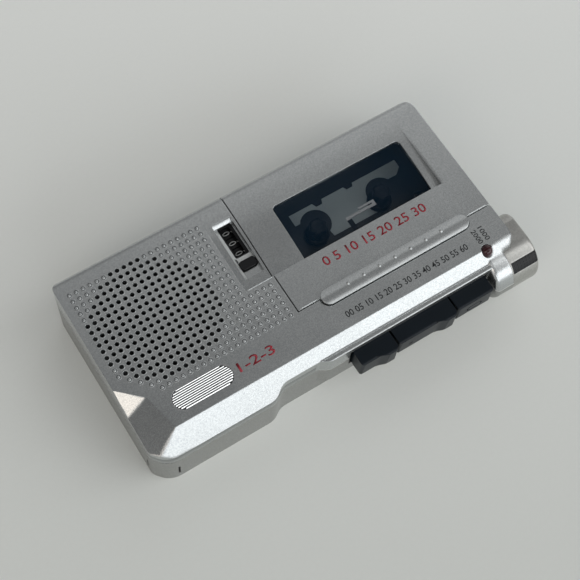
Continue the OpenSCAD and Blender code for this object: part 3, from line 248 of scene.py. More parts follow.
# painted shade: dark rings inside the grille's lips, standing in for the shade in their grooves and holes
ringShade = grainMaterial({
    "name": "packed_dust", "dark": "23282a", "light": "3c4244", "grain": 0.3 * mm, "cloud": 9 * mm,
    "rough": (0.6, 0.8), "relief": 0.2, "metal": 0.0, "ior": 1.45})
# plated zinc of the badge's ribs, polished
platedZinc = grainMaterial({
    "name": "plated_zinc", "dark": "dcdedd", "light": "f4f5f4", "grain": 0.2 * mm, "cloud": 5 * mm,
    "rough": (0.16, 0.24), "relief": 0.03, "metal": 0.95, "ior": 2.5})
# screen-printed inks, slightly raised
inkLook = {"grain": 0.2 * mm, "cloud": 4 * mm, "rough": (0.42, 0.55), "relief": 0.1, "metal": 0.0, "ior": 1.48}
redInk = grainMaterial({**inkLook, "name": "red_ink", "dark": "861a28", "light": "a62837"})
darkInk = grainMaterial({**inkLook, "name": "dark_ink", "dark": "1b1e20", "light": "2b2f31"})
whiteInk = grainMaterial({**inkLook, "name": "white_ink", "dark": "cfd3d2", "light": "eceeec"})


def badgeMaterial():
    # painted badge: dark enamel up to the groove's height, bare bright zinc above it
    look = {"top": 22.95 * mm, "groove": 22.84 * mm, "bright": "f4f6f5", "dark": "2c3032",
            "rough": (0.12, 0.24), "polish": 0.3 * mm, "edge": 0.12 * mm, "metal": 0.2}
    material, tree, shader, place = startMaterial("plated_badge")
    axes = addNode(tree, "ShaderNodeSeparateXYZ", {}, {"Vector": place})
    height = addNode(tree, "ShaderNodeMapRange", {"From Min": look["groove"], "From Max": look["top"]},
                     {"Value": axes.outputs["Z"]})
    polish = addNode(tree, "ShaderNodeTexNoise", {"Scale": 1 / look["polish"], "Detail": 2.0},
                     {"Vector": place})
    tone = addNode(tree, "ShaderNodeMix",
                   {"data_type": "RGBA", 6: hexColour(look["dark"]), 7: hexColour(look["bright"])},
                   {"Factor": height.outputs["Result"]})
    sheen = addNode(tree, "ShaderNodeMapRange", {"To Min": look["rough"][0], "To Max": look["rough"][1]},
                    {"Value": polish.outputs["Fac"]})
    softened = addNode(tree, "ShaderNodeBevel", {"samples": 4, "Radius": look["edge"]})
    tree.links.new(tone.outputs[2], shader.inputs["Base Color"])
    tree.links.new(sheen.outputs["Result"], shader.inputs["Roughness"])
    tree.links.new(softened.outputs["Normal"], shader.inputs["Normal"])
    shader.inputs["Metallic"].default_value = look["metal"]
    return material


def acrylicMaterial():
    # smoked acrylic: dark tint that still lets the deck show, with a glossy skin and a little dust
    look = {"dark": "0a2638", "light": "0f3048", "dust": 0.5 * mm, "dustSpan": (0.45, 0.75),
            "rough": (0.05, 0.22), "ior": 1.49, "coat": 0.3,   # anti-glare coat
            "alpha": 0.2}   # each pass crosses both skins of the pane
    material, tree, shader, place = startMaterial("smoked_acrylic")
    dust = addNode(tree, "ShaderNodeTexNoise", {"Scale": 1 / look["dust"], "Detail": 4.0}, {"Vector": place})
    haze = addNode(tree, "ShaderNodeMapRange",
                   {"From Min": look["dustSpan"][0], "From Max": look["dustSpan"][1],
                    "To Min": look["rough"][0], "To Max": look["rough"][1]}, {"Value": dust.outputs["Fac"]})
    tone = addNode(tree, "ShaderNodeMix",
                   {"data_type": "RGBA", 6: hexColour(look["dark"]), 7: hexColour(look["light"])},
                   {"Factor": dust.outputs["Fac"]})
    tree.links.new(haze.outputs["Result"], shader.inputs["Roughness"])
    tree.links.new(tone.outputs[2], shader.inputs["Base Color"])
    shader.inputs["IOR"].default_value = look["ior"]
    shader.inputs["Specular IOR Level"].default_value = look["coat"]
    shader.inputs["Alpha"].default_value = look["alpha"]
    return material


def lampMaterial():
    # maroon moulded acrylic dome, unlit: deep red with a hard gloss
    look = {"dark": "22060a", "light": "3c0c15", "swirl": 0.8 * mm, "rough": 0.08, "ior": 1.49}
    material, tree, shader, place = startMaterial("maroon_acrylic")
    swirl = addNode(tree, "ShaderNodeTexNoise", {"Scale": 1 / look["swirl"], "Detail": 2.0}, {"Vector": place})
    tone = addNode(tree, "ShaderNodeMix",
                   {"data_type": "RGBA", 6: hexColour(look["dark"]), 7: hexColour(look["light"])},
                   {"Factor": swirl.outputs["Fac"]})
    tree.links.new(tone.outputs[2], shader.inputs["Base Color"])
    shader.inputs["Roughness"].default_value = look["rough"]
    shader.inputs["IOR"].default_value = look["ior"]
    return material


def boardMaterial():
    # glass-epoxy board with solder mask: green, with paler copper lanes under the mask
    look = {"mask": "1d4a2c", "lane": "3a7a45", "pitch": 2.54 * mm, "weave": 0.4 * mm, "rough": (0.25, 0.45)}
    material, tree, shader, place = startMaterial("solder_mask")
    lanes = addNode(tree, "ShaderNodeTexBrick",
                    {"Scale": 1 / look["pitch"], "Mortar Size": 0.12, "Color1": hexColour(look["mask"]),
                     "Color2": hexColour(look["mask"]), "Mortar": hexColour(look["lane"])}, {"Vector": place})
    weave = addNode(tree, "ShaderNodeTexNoise", {"Scale": 1 / look["weave"]}, {"Vector": place})
    sheen = addNode(tree, "ShaderNodeMapRange", {"To Min": look["rough"][0], "To Max": look["rough"][1]},
                    {"Value": weave.outputs["Fac"]})
    tree.links.new(lanes.outputs["Color"], shader.inputs["Base Color"])
    tree.links.new(sheen.outputs["Result"], shader.inputs["Roughness"])
    return material


def bandMaterial(look):
    # two tones that meet at one plane, under a scuffed sheen
    material, tree, shader, place = startMaterial(look["name"])
    axes = addNode(tree, "ShaderNodeSeparateXYZ", {}, {"Vector": place})
    isBand = addNode(tree, "ShaderNodeMath", {"operation": look["side"], 1: look["edge"]},
                     {0: axes.outputs[look["axis"]]})
    tone = addNode(tree, "ShaderNodeMix",
                   {"data_type": "RGBA", 6: hexColour(look["body"]), 7: hexColour(look["band"])},
                   {"Factor": isBand.outputs["Value"]})
    scuff = addNode(tree, "ShaderNodeTexNoise", {"Scale": 1 / look["scuff"], "Detail": look["detail"]},
                    {"Vector": place})
    sheen = addNode(tree, "ShaderNodeMapRange", {"To Min": look["rough"][0], "To Max": look["rough"][1]},
                    {"Value": scuff.outputs["Fac"]})
    tree.links.new(tone.outputs[2], shader.inputs["Base Color"])
    tree.links.new(sheen.outputs["Result"], shader.inputs["Roughness"])
    shader.inputs["Metallic"].default_value = look["metal"]
    return material


# spring steel: the arm nearer the front is painted dark, painted shade for the shade under the lid; the two
# fingers that bear on the cassette are bright
springShadedArm = bandMaterial({
    "name": "blued_spring_steel", "body": "14181b", "band": "d5d8d9", "axis": "Y", "side": "GREATER_THAN",
    "edge": 5.2 * mm, "scuff": 0.3 * mm, "detail": 2.0, "rough": (0.25, 0.45), "metal": 0.3})
# printed sleeve of a dry cell: dark body, a copper-coloured band at one end
cellSleeve = bandMaterial({
    "name": "cell_sleeve", "body": "1d2226", "band": "b0713a", "axis": "X", "side": "LESS_THAN",
    "edge": -42 * mm, "scuff": 0.6 * mm, "detail": 3.0, "rough": (0.2, 0.42), "metal": 0.4})
badgeFinish = badgeMaterial()
finishes = {
    silverPaint: "front_cabinet cassette_lid",
    rearPaint: "rear_cabinet battery_door",
    capPaint: "microphone_cap",
    badgeFinish: "ribbed_badge",
    acrylicMaterial(): "lid_window",
    lampMaterial(): "record_lamp",
    blackPlastic: "microphone_screen counter_frame hundreds_wheel tens_wheel units_wheel reset_button "
                  "volume_dial voice_knob speed_knob supply_spindle takeup_spindle earphone_jack power_jack",
    keyPlastic: "stop_key play_key record_key",
    redPlastic: "microphone_jack",
    springShadedArm: "lid_spring",
    frameLacquer: "speaker_frame",
    steel: "hinge_pin counter_axle head_plate capstan_shaft drive_motor battery_contacts cabinet_screws "
           "deck_screws voice_switch speed_switch microphone_capsule record_head",
    deckSteel: "deck_plate",
    brass: "capstan_bearing flywheel motor_pulley",
    rubber: "pinch_roller drive_belt idler_wheel microphone_grommet",
    boardMaterial(): "circuit_board",
    potBody: "volume_pot",
    ferrite: "speaker_magnet erase_head",
    conePaper: "speaker_cone",
    cellSleeve: "battery_cells",
}
for material, names in finishes.items():
    for name in names.split():
        nodes[name].data.materials.clear()
        nodes[name].data.materials.append(material)
print("finishes given to", sum(len(names.split()) for names in finishes.values()), "nodes")


def startTree(name, inputs):
    tree = bpy.data.node_groups.new(name, "GeometryNodeTree")
    for label, kind in inputs.items():
        tree.interface.new_socket(label, in_out="INPUT", socket_type=kind)
    tree.interface.new_socket("Geometry", in_out="OUTPUT", socket_type="NodeSocketGeometry")
    return tree, addNode(tree, "NodeGroupInput").outputs, addNode(tree, "NodeGroupOutput")


def setInputs(modifier, values):
    for item in modifier.node_group.interface.items_tree:
        if item.item_type == "SOCKET" and item.in_out == "INPUT" and item.name in values:
            modifier[item.identifier] = values[item.name]


def skinTree():
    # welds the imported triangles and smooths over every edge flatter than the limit
    tree, given, out = startTree("smoothSkin", {
        "Geometry": "NodeSocketGeometry", "mergeDistance": "NodeSocketFloat", "edgeLimit": "NodeSocketFloat"})
    bare = addNode(tree, "GeometryNodeRemoveAttribute", {"Name": "custom_normal"},
                   {"Geometry": given["Geometry"]})
    weld = addNode(tree, "GeometryNodeMergeByDistance", {},
                   {"Geometry": bare.outputs[0], "Distance": given["mergeDistance"]})
    angle = addNode(tree, "GeometryNodeInputMeshEdgeAngle")
    isFlat = addNode(tree, "FunctionNodeCompare", {"data_type": "FLOAT", "operation": "LESS_THAN"},
                     {0: angle.outputs["Unsigned Angle"], 1: given["edgeLimit"]})
    faces = addNode(tree, "GeometryNodeSetShadeSmooth", {"domain": "FACE", "Shade Smooth": True},
                    {0: weld.outputs[0]})
    edges = addNode(tree, "GeometryNodeSetShadeSmooth", {"domain": "EDGE"},
                    {0: faces.outputs[0], "Shade Smooth": isFlat.outputs[0]})
    tree.links.new(edges.outputs[0], out.inputs["Geometry"])
    return tree


def smoothNodes():
    # the front cabinet's two corner facets meet at only 17 degrees
    look = {"mergeDistance": 0.001 * mm, "edgeLimit": 22, "facetLimit": 12}
    tree = skinTree()
    for name, node in nodes.items():
        modifier = node.modifiers.new("smoothSkin", "NODES")
        modifier.node_group = tree
        limit = look["facetLimit"] if name == "front_cabinet" else look["edgeLimit"]
        setInputs(modifier, {"mergeDistance": look["mergeDistance"], "edgeLimit": math.radians(limit)})
    print("packed meshes smoothed")


smoothNodes()


def meshPiece(name, shape, material, body):
    piece = bpy.data.objects.new(name, shape)
    scene.collection.objects.link(piece)
    shape.materials.clear()
    shape.materials.append(material)
    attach(piece, body)
    return piece


def closeMesh(name, shape):
    bmesh.ops.recalc_face_normals(shape, faces=shape.faces)
    mesh = bpy.data.meshes.new(name)
    shape.to_mesh(mesh)
    shape.free()
    return mesh


def latheMesh(name, profile, steps):
    # turns a list of (radius, height) points about Z; a radius of 0 closes the middle
    shape = bmesh.new()
    rings = []
    for radius, height in profile:
        turns = [0] if radius == 0 else [math.tau * i / steps for i in range(steps)]
        rings.append([shape.verts.new((radius * math.cos(t), radius * math.sin(t), height)) for t in turns])
    for low, high in zip(rings, rings[1:]):
        for i in range(steps):
            j = i + 1
            corners = [low[i % len(low)], low[j % len(low)], high[j % len(high)], high[i % len(high)]]
            shape.faces.new(list(dict.fromkeys(corners)))
    for face in shape.faces:
        face.smooth = True
    return closeMesh(name, shape)


def bakeTree(name, tree, values, body):
    host = bpy.data.objects.new(name, bpy.data.meshes.new(name))
    scene.collection.objects.link(host)
    modifier = host.modifiers.new("pattern", "NODES")
    modifier.node_group = tree
    setInputs(modifier, values)
    seen = host.evaluated_get(bpy.context.evaluated_depsgraph_get())
    host.data = bpy.data.meshes.new_from_object(seen)
    host.modifiers.remove(modifier)
    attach(host, body)
    print(name, "has", len(host.data.polygons), "faces")


def grilleTree(keepOpen):
    # a square grid of points, thinned to the round speaker field or to the field of blind bumps about it
    tree, given, out = startTree("openRims" if keepOpen else "blindBumps", {
        "pitch": "NodeSocketFloat", "columns": "NodeSocketInt", "rows": "NodeSocketInt",
        "middle": "NodeSocketVector", "fieldCentre": "NodeSocketVector", "fieldRadius": "NodeSocketFloat",
        "xLimit": "NodeSocketFloat", "yLimit": "NodeSocketFloat", "cornerLimit": "NodeSocketFloat",
        "shape": "NodeSocketObject", "finish": "NodeSocketMaterial"})

    def sizeOf(count):
        steps = addNode(tree, "ShaderNodeMath", {"operation": "SUBTRACT", 1: 1.0}, {0: given[count]})
        return addNode(tree, "ShaderNodeMath", {"operation": "MULTIPLY"},
                       {0: steps.outputs[0], 1: given["pitch"]}).outputs[0]

    def test(operation, a, b):
        return addNode(tree, "FunctionNodeCompare", {"data_type": "FLOAT", "operation": operation},
                       {0: a, 1: b}).outputs[0]

    def both(operation, a, b):
        return addNode(tree, "FunctionNodeBooleanMath", {"operation": operation}, {0: a, 1: b}).outputs[0]

    grid = addNode(tree, "GeometryNodeMeshGrid", {}, {
        "Size X": sizeOf("columns"), "Size Y": sizeOf("rows"),
        "Vertices X": given["columns"], "Vertices Y": given["rows"]})
    moved = addNode(tree, "GeometryNodeTransform", {},
                    {"Geometry": grid.outputs["Mesh"], "Translation": given["middle"]})
    place = addNode(tree, "GeometryNodeInputPosition").outputs[0]
    axes = addNode(tree, "ShaderNodeSeparateXYZ", {}, {0: place})
    away = addNode(tree, "ShaderNodeVectorMath", {"operation": "DISTANCE"}, {0: place, 1: given["fieldCentre"]})
    inField = test("LESS_THAN", away.outputs["Value"], given["fieldRadius"])
    if keepOpen:
        kept = inField
    else:
        diagonal = addNode(tree, "ShaderNodeMath", {"operation": "ADD"},
                           {0: axes.outputs["X"], 1: axes.outputs["Y"]})
        besideLid = both("OR", test("LESS_THAN", axes.outputs["X"], given["xLimit"]),
                         test("LESS_THAN", axes.outputs["Y"], given["yLimit"]))
        offCorner = both("AND", besideLid, test("GREATER_THAN", diagonal.outputs[0], given["cornerLimit"]))
        kept = both("NIMPLY", offCorner, inField)
    points = addNode(tree, "GeometryNodeMeshToPoints", {}, {"Mesh": moved.outputs[0], "Selection": kept})
    source = addNode(tree, "GeometryNodeObjectInfo", {}, {"Object": given["shape"]})
    copies = addNode(tree, "GeometryNodeInstanceOnPoints", {},
                     {"Points": points.outputs[0], "Instance": source.outputs["Geometry"]})
    solid = addNode(tree, "GeometryNodeRealizeInstances", {}, {0: copies.outputs[0]})
    painted = addNode(tree, "GeometryNodeSetMaterial", {}, {0: solid.outputs[0], "Material": given["finish"]})
    tree.links.new(painted.outputs[0], out.inputs["Geometry"])
    return tree


def addGrille():
    # columns and rows count from the hole at the middle of the speaker
    look = {"pitch": 2.03 * mm, "centre": (-37.9 * mm, 6.3 * mm), "top": 22.8 * mm, "columns": (-8, 15),
            "rows": (-9, 8), "fieldRadius": 17.55 * mm, "fieldDrop": 0.5 * mm, "lastShortColumn": 11,
            "lastLongRow": -4, "corner": -13, "sides": 14}
    pitch, (cx, cy), top = look["pitch"], look["centre"], look["top"]
    # turned profiles in mm: rolled lip, low dome with a lip round it, and a dark ring of painted shade inside
    # either lip
    rim = [(0.64, -0.01), (0.68, 0.04), (0.74, 0.065), (0.80, 0.05), (0.88, -0.01)]
    bump = [(0.86, -0.01), (0.78, 0.045), (0.70, 0.045), (0.62, 0.0), (0.44, 0.005), (0.36, 0.11), (0.20, 0.16),
            (0.0, 0.17)]
    rimShade = [(0.555, -0.4), (0.56, 0.008), (0.66, 0.012), (0.67, -0.01)]
    bumpShade = [(0.42, -0.01), (0.43, 0.014), (0.58, 0.014), (0.59, -0.01)]
    (column0, column1), (row0, row1) = look["columns"], look["rows"]
    values = {"pitch": pitch, "columns": column1 - column0 + 1, "rows": row1 - row0 + 1,
              "middle": (cx + pitch * (column1 + column0) / 2, cy + pitch * (row1 + row0) / 2, top),
              "fieldCentre": (cx, cy - look["fieldDrop"], top), "fieldRadius": look["fieldRadius"],
              "xLimit": cx + pitch * (look["lastShortColumn"] + 0.5),
              "yLimit": cy + pitch * (look["lastLongRow"] + 0.5),
              "cornerLimit": cx + cy + pitch * (look["corner"] - 0.5)}
    sets = (("speaker_rims", rim, True, silverPaint), ("blind_bumps", bump, False, silverPaint),
            ("speaker_grime", rimShade, True, ringShade), ("blind_grime", bumpShade, False, ringShade))
    for name, profile, keepOpen, finish in sets:
        shape = latheMesh(name + "_shape", [(r * mm, h * mm) for r, h in profile], look["sides"])
        template = bpy.data.objects.new(name + "_shape", shape)
        bakeTree(name, grilleTree(keepOpen), {**values, "shape": template, "finish": finish},
                 "cabinet")
        bpy.data.objects.remove(template)


addGrille()


def glyphMesh(words, stroke):
    text = bpy.data.curves.new("glyphs", "FONT")
    text.body = words
    for key, value in stroke.items():
        setattr(text, key, value)
    holder = bpy.data.objects.new("glyphs", text)
    scene.collection.objects.link(holder)
    mesh = bpy.data.meshes.new_from_object(holder.evaluated_get(bpy.context.evaluated_depsgraph_get()))
    bpy.data.objects.remove(holder)
    return mesh


def addDigits():
    # numerals 0 to 9 bent round each counter wheel, the next one coming from the hinge-free side as it turns
    look = {"radius": 4.0 * mm, "axis": (-8.65 * mm, 15.0 * mm), "height": 2.1 * mm, "width": 0.8,
            "lift": 0.015 * mm, "bends": 8, "digits": 10,
            "wheels": {"units": 11.95 * mm, "tens": 15.35 * mm, "hundreds": 18.75 * mm}}
    stroke = {"align_x": "CENTER", "align_y": "CENTER", "extrude": 0.02, "offset": -0.02, "resolution_u": 4}
    axisX, axisZ = look["axis"]
    for body, middle in look["wheels"].items():
        band = bmesh.new()
        for digit in range(look["digits"]):
            turned = math.tau * digit / look["digits"]
            glyph = glyphMesh(str(digit), stroke)
            flat = bmesh.new()
            flat.from_mesh(glyph)
            bpy.data.meshes.remove(glyph)
            xs = [v.co.x for v in flat.verts]
            ys = [v.co.y for v in flat.verts]
            low, high, centre = min(ys), max(ys), (min(xs) + max(xs)) / 2
            for step in range(1, look["bends"]):
                cut = low + (high - low) * step / look["bends"]
                bmesh.ops.bisect_plane(flat, geom=flat.verts[:] + flat.edges[:] + flat.faces[:],
                                       plane_co=(0, cut, 0), plane_no=(0, 1, 0))
            scale = look["height"] / (high - low)
            for v in flat.verts:
                along = (v.co.y - (low + high) / 2) * scale / look["radius"] - turned
                out = look["radius"] + look["lift"] + v.co.z * scale
                v.co = (axisX + out * math.sin(along), middle - (v.co.x - centre) * scale * look["width"],
                        axisZ + out * math.cos(along))
            bent = closeMesh("digit", flat)
            band.from_mesh(bent)
            bpy.data.meshes.remove(bent)
        meshPiece(body + "_digits", closeMesh(body + "_digits", band), whiteInk, body)


addDigits()


def liftFaces(shape, faces, height):
    # draws flat faces up into upright prisms
    lifted = bmesh.ops.extrude_face_region(shape, geom=faces)["geom"]
    bmesh.ops.translate(shape, vec=(0, 0, height * mm),
                        verts=[part for part in lifted if isinstance(part, bmesh.types.BMVert)])


def slabMesh(name, outlines, low, high):
    # upright prisms over flat outlines given in mm
    shape = bmesh.new()
    for outline in outlines:
        base = shape.faces.new([shape.verts.new((x * mm, y * mm, low * mm)) for x, y in outline])
        liftFaces(shape, [base], high - low)
    return closeMesh(name, shape)


def printMesh(name, lines, low, high):
    # numerals laid flat on the top: text, left foot x and y, height, width (mm) and turn (degrees) of each line
    stroke = {"offset": 0.012, "resolution_u": 3}
    mergeDistance = 0.0005 * mm
    sheet = bmesh.new()
    for words, x, y, height, width, turn in lines:
        glyphs = glyphMesh(words, stroke)
        xs = [v.co.x for v in glyphs.vertices]
        ys = [v.co.y for v in glyphs.vertices]
        fit = Matrix.Diagonal((width * mm / (max(xs) - min(xs)), height * mm / (max(ys) - min(ys)), 1, 1))
        lay = Matrix.Translation((x * mm, y * mm, low * mm)) @ Matrix.Rotation(math.radians(turn), 4, "Z")
        glyphs.transform(lay @ fit @ Matrix.Translation((-min(xs), -min(ys), 0)))
        sheet.from_mesh(glyphs)
        bpy.data.meshes.remove(glyphs)
    bmesh.ops.remove_doubles(sheet, verts=sheet.verts, dist=mergeDistance)
    liftFaces(sheet, sheet.faces[:], high - low)
    return closeMesh(name, sheet)


def addMarks():
    # plain numerals printed on the top
    low, high = 22.78, 22.815
    marks = {"lid_marks": ("lid", redInk, [("0 5 10 15 20 25 30", 8.2, -4.9, 2.8, 33.2, 0)]),
             "body_marks": ("cabinet", redInk, [("1-2-3", -26.9, -18.9, 2.75, 10.8, 0)]),
             "strip_marks": ("cabinet", darkInk, [
                 ("00 05 10 15 20 25 30 35 40 45 50 55 60", 5.0, -20.4, 1.9, 39.3, 0),
                 ("1000", 49.8, -16.4, 1.5, 4.4, -90), ("2000", 47.5, -16.4, 1.5, 4.4, -90)])}
    for name, (body, ink, lines) in marks.items():
        meshPiece(name, printMesh(name, lines, low, high), ink, body)


addMarks()


def loftMesh(name, runs):
    # carries outlines of (y, z) points along X; each station is x and a scale about the outline's first point
    shape = bmesh.new()
    for profile, stations in runs:
        y0, z0 = profile[0]
        rings = []
        for x, size in stations:
            points = [(x, y0 + (y - y0) * size, z0 + (z - z0) * size) for y, z in profile]
            rings.append([shape.verts.new([c * mm for c in point]) for point in points])
        for low, high in zip(rings, rings[1:]):
            for i in range(len(profile)):
                j = (i + 1) % len(profile)
                shape.faces.new([low[i], low[j], high[j], high[i]])
        shape.faces.new(rings[0])
        shape.faces.new(rings[-1])
    return closeMesh(name, shape)


def taperedRun(x0, x1, taper, tip):
    return [(x0, tip), (x0 + taper, 1.0), (x1 - taper, 1.0), (x1, tip)]


def addBadge():
    # dark oval plate with bright saw-tooth ribs that lean to the front, each as long as the oval allows
    look = {"centre": (-37.2, -17.3), "length": 17.36, "width": 6.06, "low": 22.22, "high": 22.70,
            "count": 10, "pitch": 0.6, "halfWidth": 0.2, "taper": 0.15, "tip": 0.5}
    # one rib, from front to back
    tooth = [(0.0, -0.05), (-0.2, 0.0), (0.06, 0.26), (0.10, 0.27), (0.13, 0.25), (0.2, 0.0)]
    cx, cy = look["centre"]
    end = look["width"] / 2
    straight = look["length"] / 2 - end
    turns = [math.radians(a) for a in range(-90, 91, 10)]
    oval = [(cx + straight + end * math.cos(a), cy + end * math.sin(a)) for a in turns]
    oval += [(cx - straight - end * math.cos(a), cy - end * math.sin(a)) for a in turns]
    mesh = slabMesh("badge_plate", [oval], look["low"], look["high"])
    plate = meshPiece("badge_plate", mesh, badgeFinish, "cabinet")
    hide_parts("ribbed_badge")
    runs = []
    for k in range(look["count"]):
        off = (k - (look["count"] - 1) / 2) * look["pitch"]
        reach = straight + math.sqrt(end ** 2 - (abs(off) + look["halfWidth"]) ** 2)
        profile = [(cy + off + y, look["high"] + z) for y, z in tooth]
        runs.append((profile, taperedRun(cx - reach, cx + reach, look["taper"], look["tip"])))
    meshPiece("badge_ribs", loftMesh("badge_ribs", runs), platedZinc, "cabinet")


addBadge()


def addLips():
    # moulded lips along the dip's foot and the lid's front edge, and the ramp at the counter tray's far end
    look = {"radius": 0.2, "sink": 0.1, "height": 22.76, "taper": 0.5, "tip": 0.3, "rampRun": (-11.88, -6.12)}
    lips = {"dip_lip": ("cabinet", -13.6, -5.5, -0.1), "lid_lip": ("lid", -4.4, 1.2, -11.75),
            "lid_lip_far": ("lid", 49.6, 56.3, -11.75)}
    radius, z = look["radius"], look["height"]
    arc = [math.radians(a) for a in range(0, 181, 30)]
    for name, (body, x0, x1, y) in lips.items():
        profile = [(y, z - look["sink"])] + [(y + radius * math.cos(a), z + radius * math.sin(a)) for a in arc]
        mesh = loftMesh(name, [(profile, taperedRun(x0, x1, look["taper"], look["tip"]))])
        meshPiece(name, mesh, silverPaint, body)
    ramp = [(21.05, 22.7), (21.1, 22.78), (20.6, 22.36), (19.98, 21.78), (20.0, 21.66), (20.68, 21.66)]
    mesh = loftMesh("tray_ramp", [(ramp, [(x, 1.0) for x in look["rampRun"]])])
    meshPiece("tray_ramp", mesh, silverPaint, "cabinet")


addLips()


def addTrayLiner():
    # pale moulded liner on the floor of the counter tray, open over the wheels and the reset button
    look = {"low": 20.38, "high": 20.47}
    strips = [(-11.85, -11.05, 3.4, 20.2), (-11.05, -10.65, 8.9, 20.2), (-11.05, -6.15, 8.85, 10.15)]
    outlines = [[(x0, y0), (x1, y0), (x1, y1), (x0, y1)] for x0, x1, y0, y1 in strips]
    mesh = slabMesh("tray_liner", outlines, look["low"], look["high"])
    meshPiece("tray_liner", mesh, paleLacquer, "cabinet")


addTrayLiner()


def arcPoints(cx, cy, radius, start, stop, step):
    turns = [math.radians(a) for a in range(start, stop, step)]
    return [(cx + radius * math.cos(a), cy + radius * math.sin(a)) for a in turns]


def addCounterMask():
    # black mask under the tray that leaves one numeral of each wheel in sight
    look = {"low": 20.05, "high": 20.3, "outer": (-10.5, -6.4, 10.4, 20.15),
            "inner": (-10.15, -7.2, 10.65, 19.95), "corner": 0.7}
    (x0, x1, y0, y1), (u0, u1, v0, v1), r = look["outer"], look["inner"], look["corner"]
    # middle of each rounded inner corner, the outer corner beside it and where its arc starts
    corners = [((u0 + r, v0 + r), (x0, y0), 180), ((u1 - r, v0 + r), (x1, y0), 270),
               ((u1 - r, v1 - r), (x1, y1), 0), ((u0 + r, v1 - r), (x0, y1), 90)]
    arcs = [(arcPoints(cx, cy, r, start, start + 91, 15), outer) for (cx, cy), outer, start in corners]
    outlines = [arc + [outer] for arc, outer in arcs]
    outlines += [[arcs[k][0][-1], arcs[k - 3][0][0], arcs[k - 3][1], arcs[k][1]] for k in range(4)]
    mesh = slabMesh("counter_mask", outlines, look["low"], look["high"])
    meshPiece("counter_mask", mesh, blackPlastic, "cabinet")


addCounterMask()


def addReelPlate():
    # stepped grey plate seen round the reels through the window, cut back round both hubs
    look = {"low": 10.61, "high": 10.72, "bite": 4.5, "supply": (16.9, 12.1), "takeup": (38.6, 11.4)}
    front = [(19.4, 6.3), (35.6, 6.3)]
    end = [(45.4, 13.6), (47.6, 15.4), (47.6, 18.0)]
    back = [(32.9, 18.0), (32.4, 16.9), (30.4, 16.9), (29.8, 18.0), (22.5, 18.0), (21.9, 16.6), (19.9, 16.6),
            (19.3, 18.0), (11.5, 18.0), (11.5, 14.4)]
    left = arcPoints(*look["supply"], look["bite"], 150, -61, -15)
    right = arcPoints(*look["takeup"], look["bite"], 240, 29, -15)
    mesh = slabMesh("reel_plate", [left + front + right + end + back], look["low"], look["high"])
    meshPiece("reel_plate", mesh, platePaint, "cabinet")


def addHubs():
    # splined collars that stand on the spindles and drive the cassette's reels
    look = {"sides": 36, "splines": 6, "splineDepth": 0.09, "splineFrom": 2.0 * mm, "splineTo": 3.0 * mm}
    profile = [(1.56, 11.6), (3.4, 11.6), (3.5, 11.7), (3.5, 12.0), (3.3, 12.2), (2.6, 12.3), (2.5, 16.2),
               (2.3, 16.6), (1.6, 16.8), (1.4, 16.6), (0.8, 16.55), (0.0, 16.5)]
    places = {"supply": (15.1, 9.0), "takeup": (36.3, 9.0)}
    for body, (x, y) in places.items():
        mesh = latheMesh(body + "_hub", [(r * mm, z * mm) for r, z in profile], look["sides"])
        for v in mesh.vertices:
            if look["splineFrom"] < v.co.xy.length < look["splineTo"]:
                turn = math.atan2(v.co.y, v.co.x)
                v.co.xy *= 1.0 + look["splineDepth"] * math.cos(look["splines"] * turn)
        mesh.transform(Matrix.Translation((x * mm, y * mm, 0)))
        meshPiece(body + "_hub", mesh, blackPlastic, body)


addReelPlate()
addHubs()


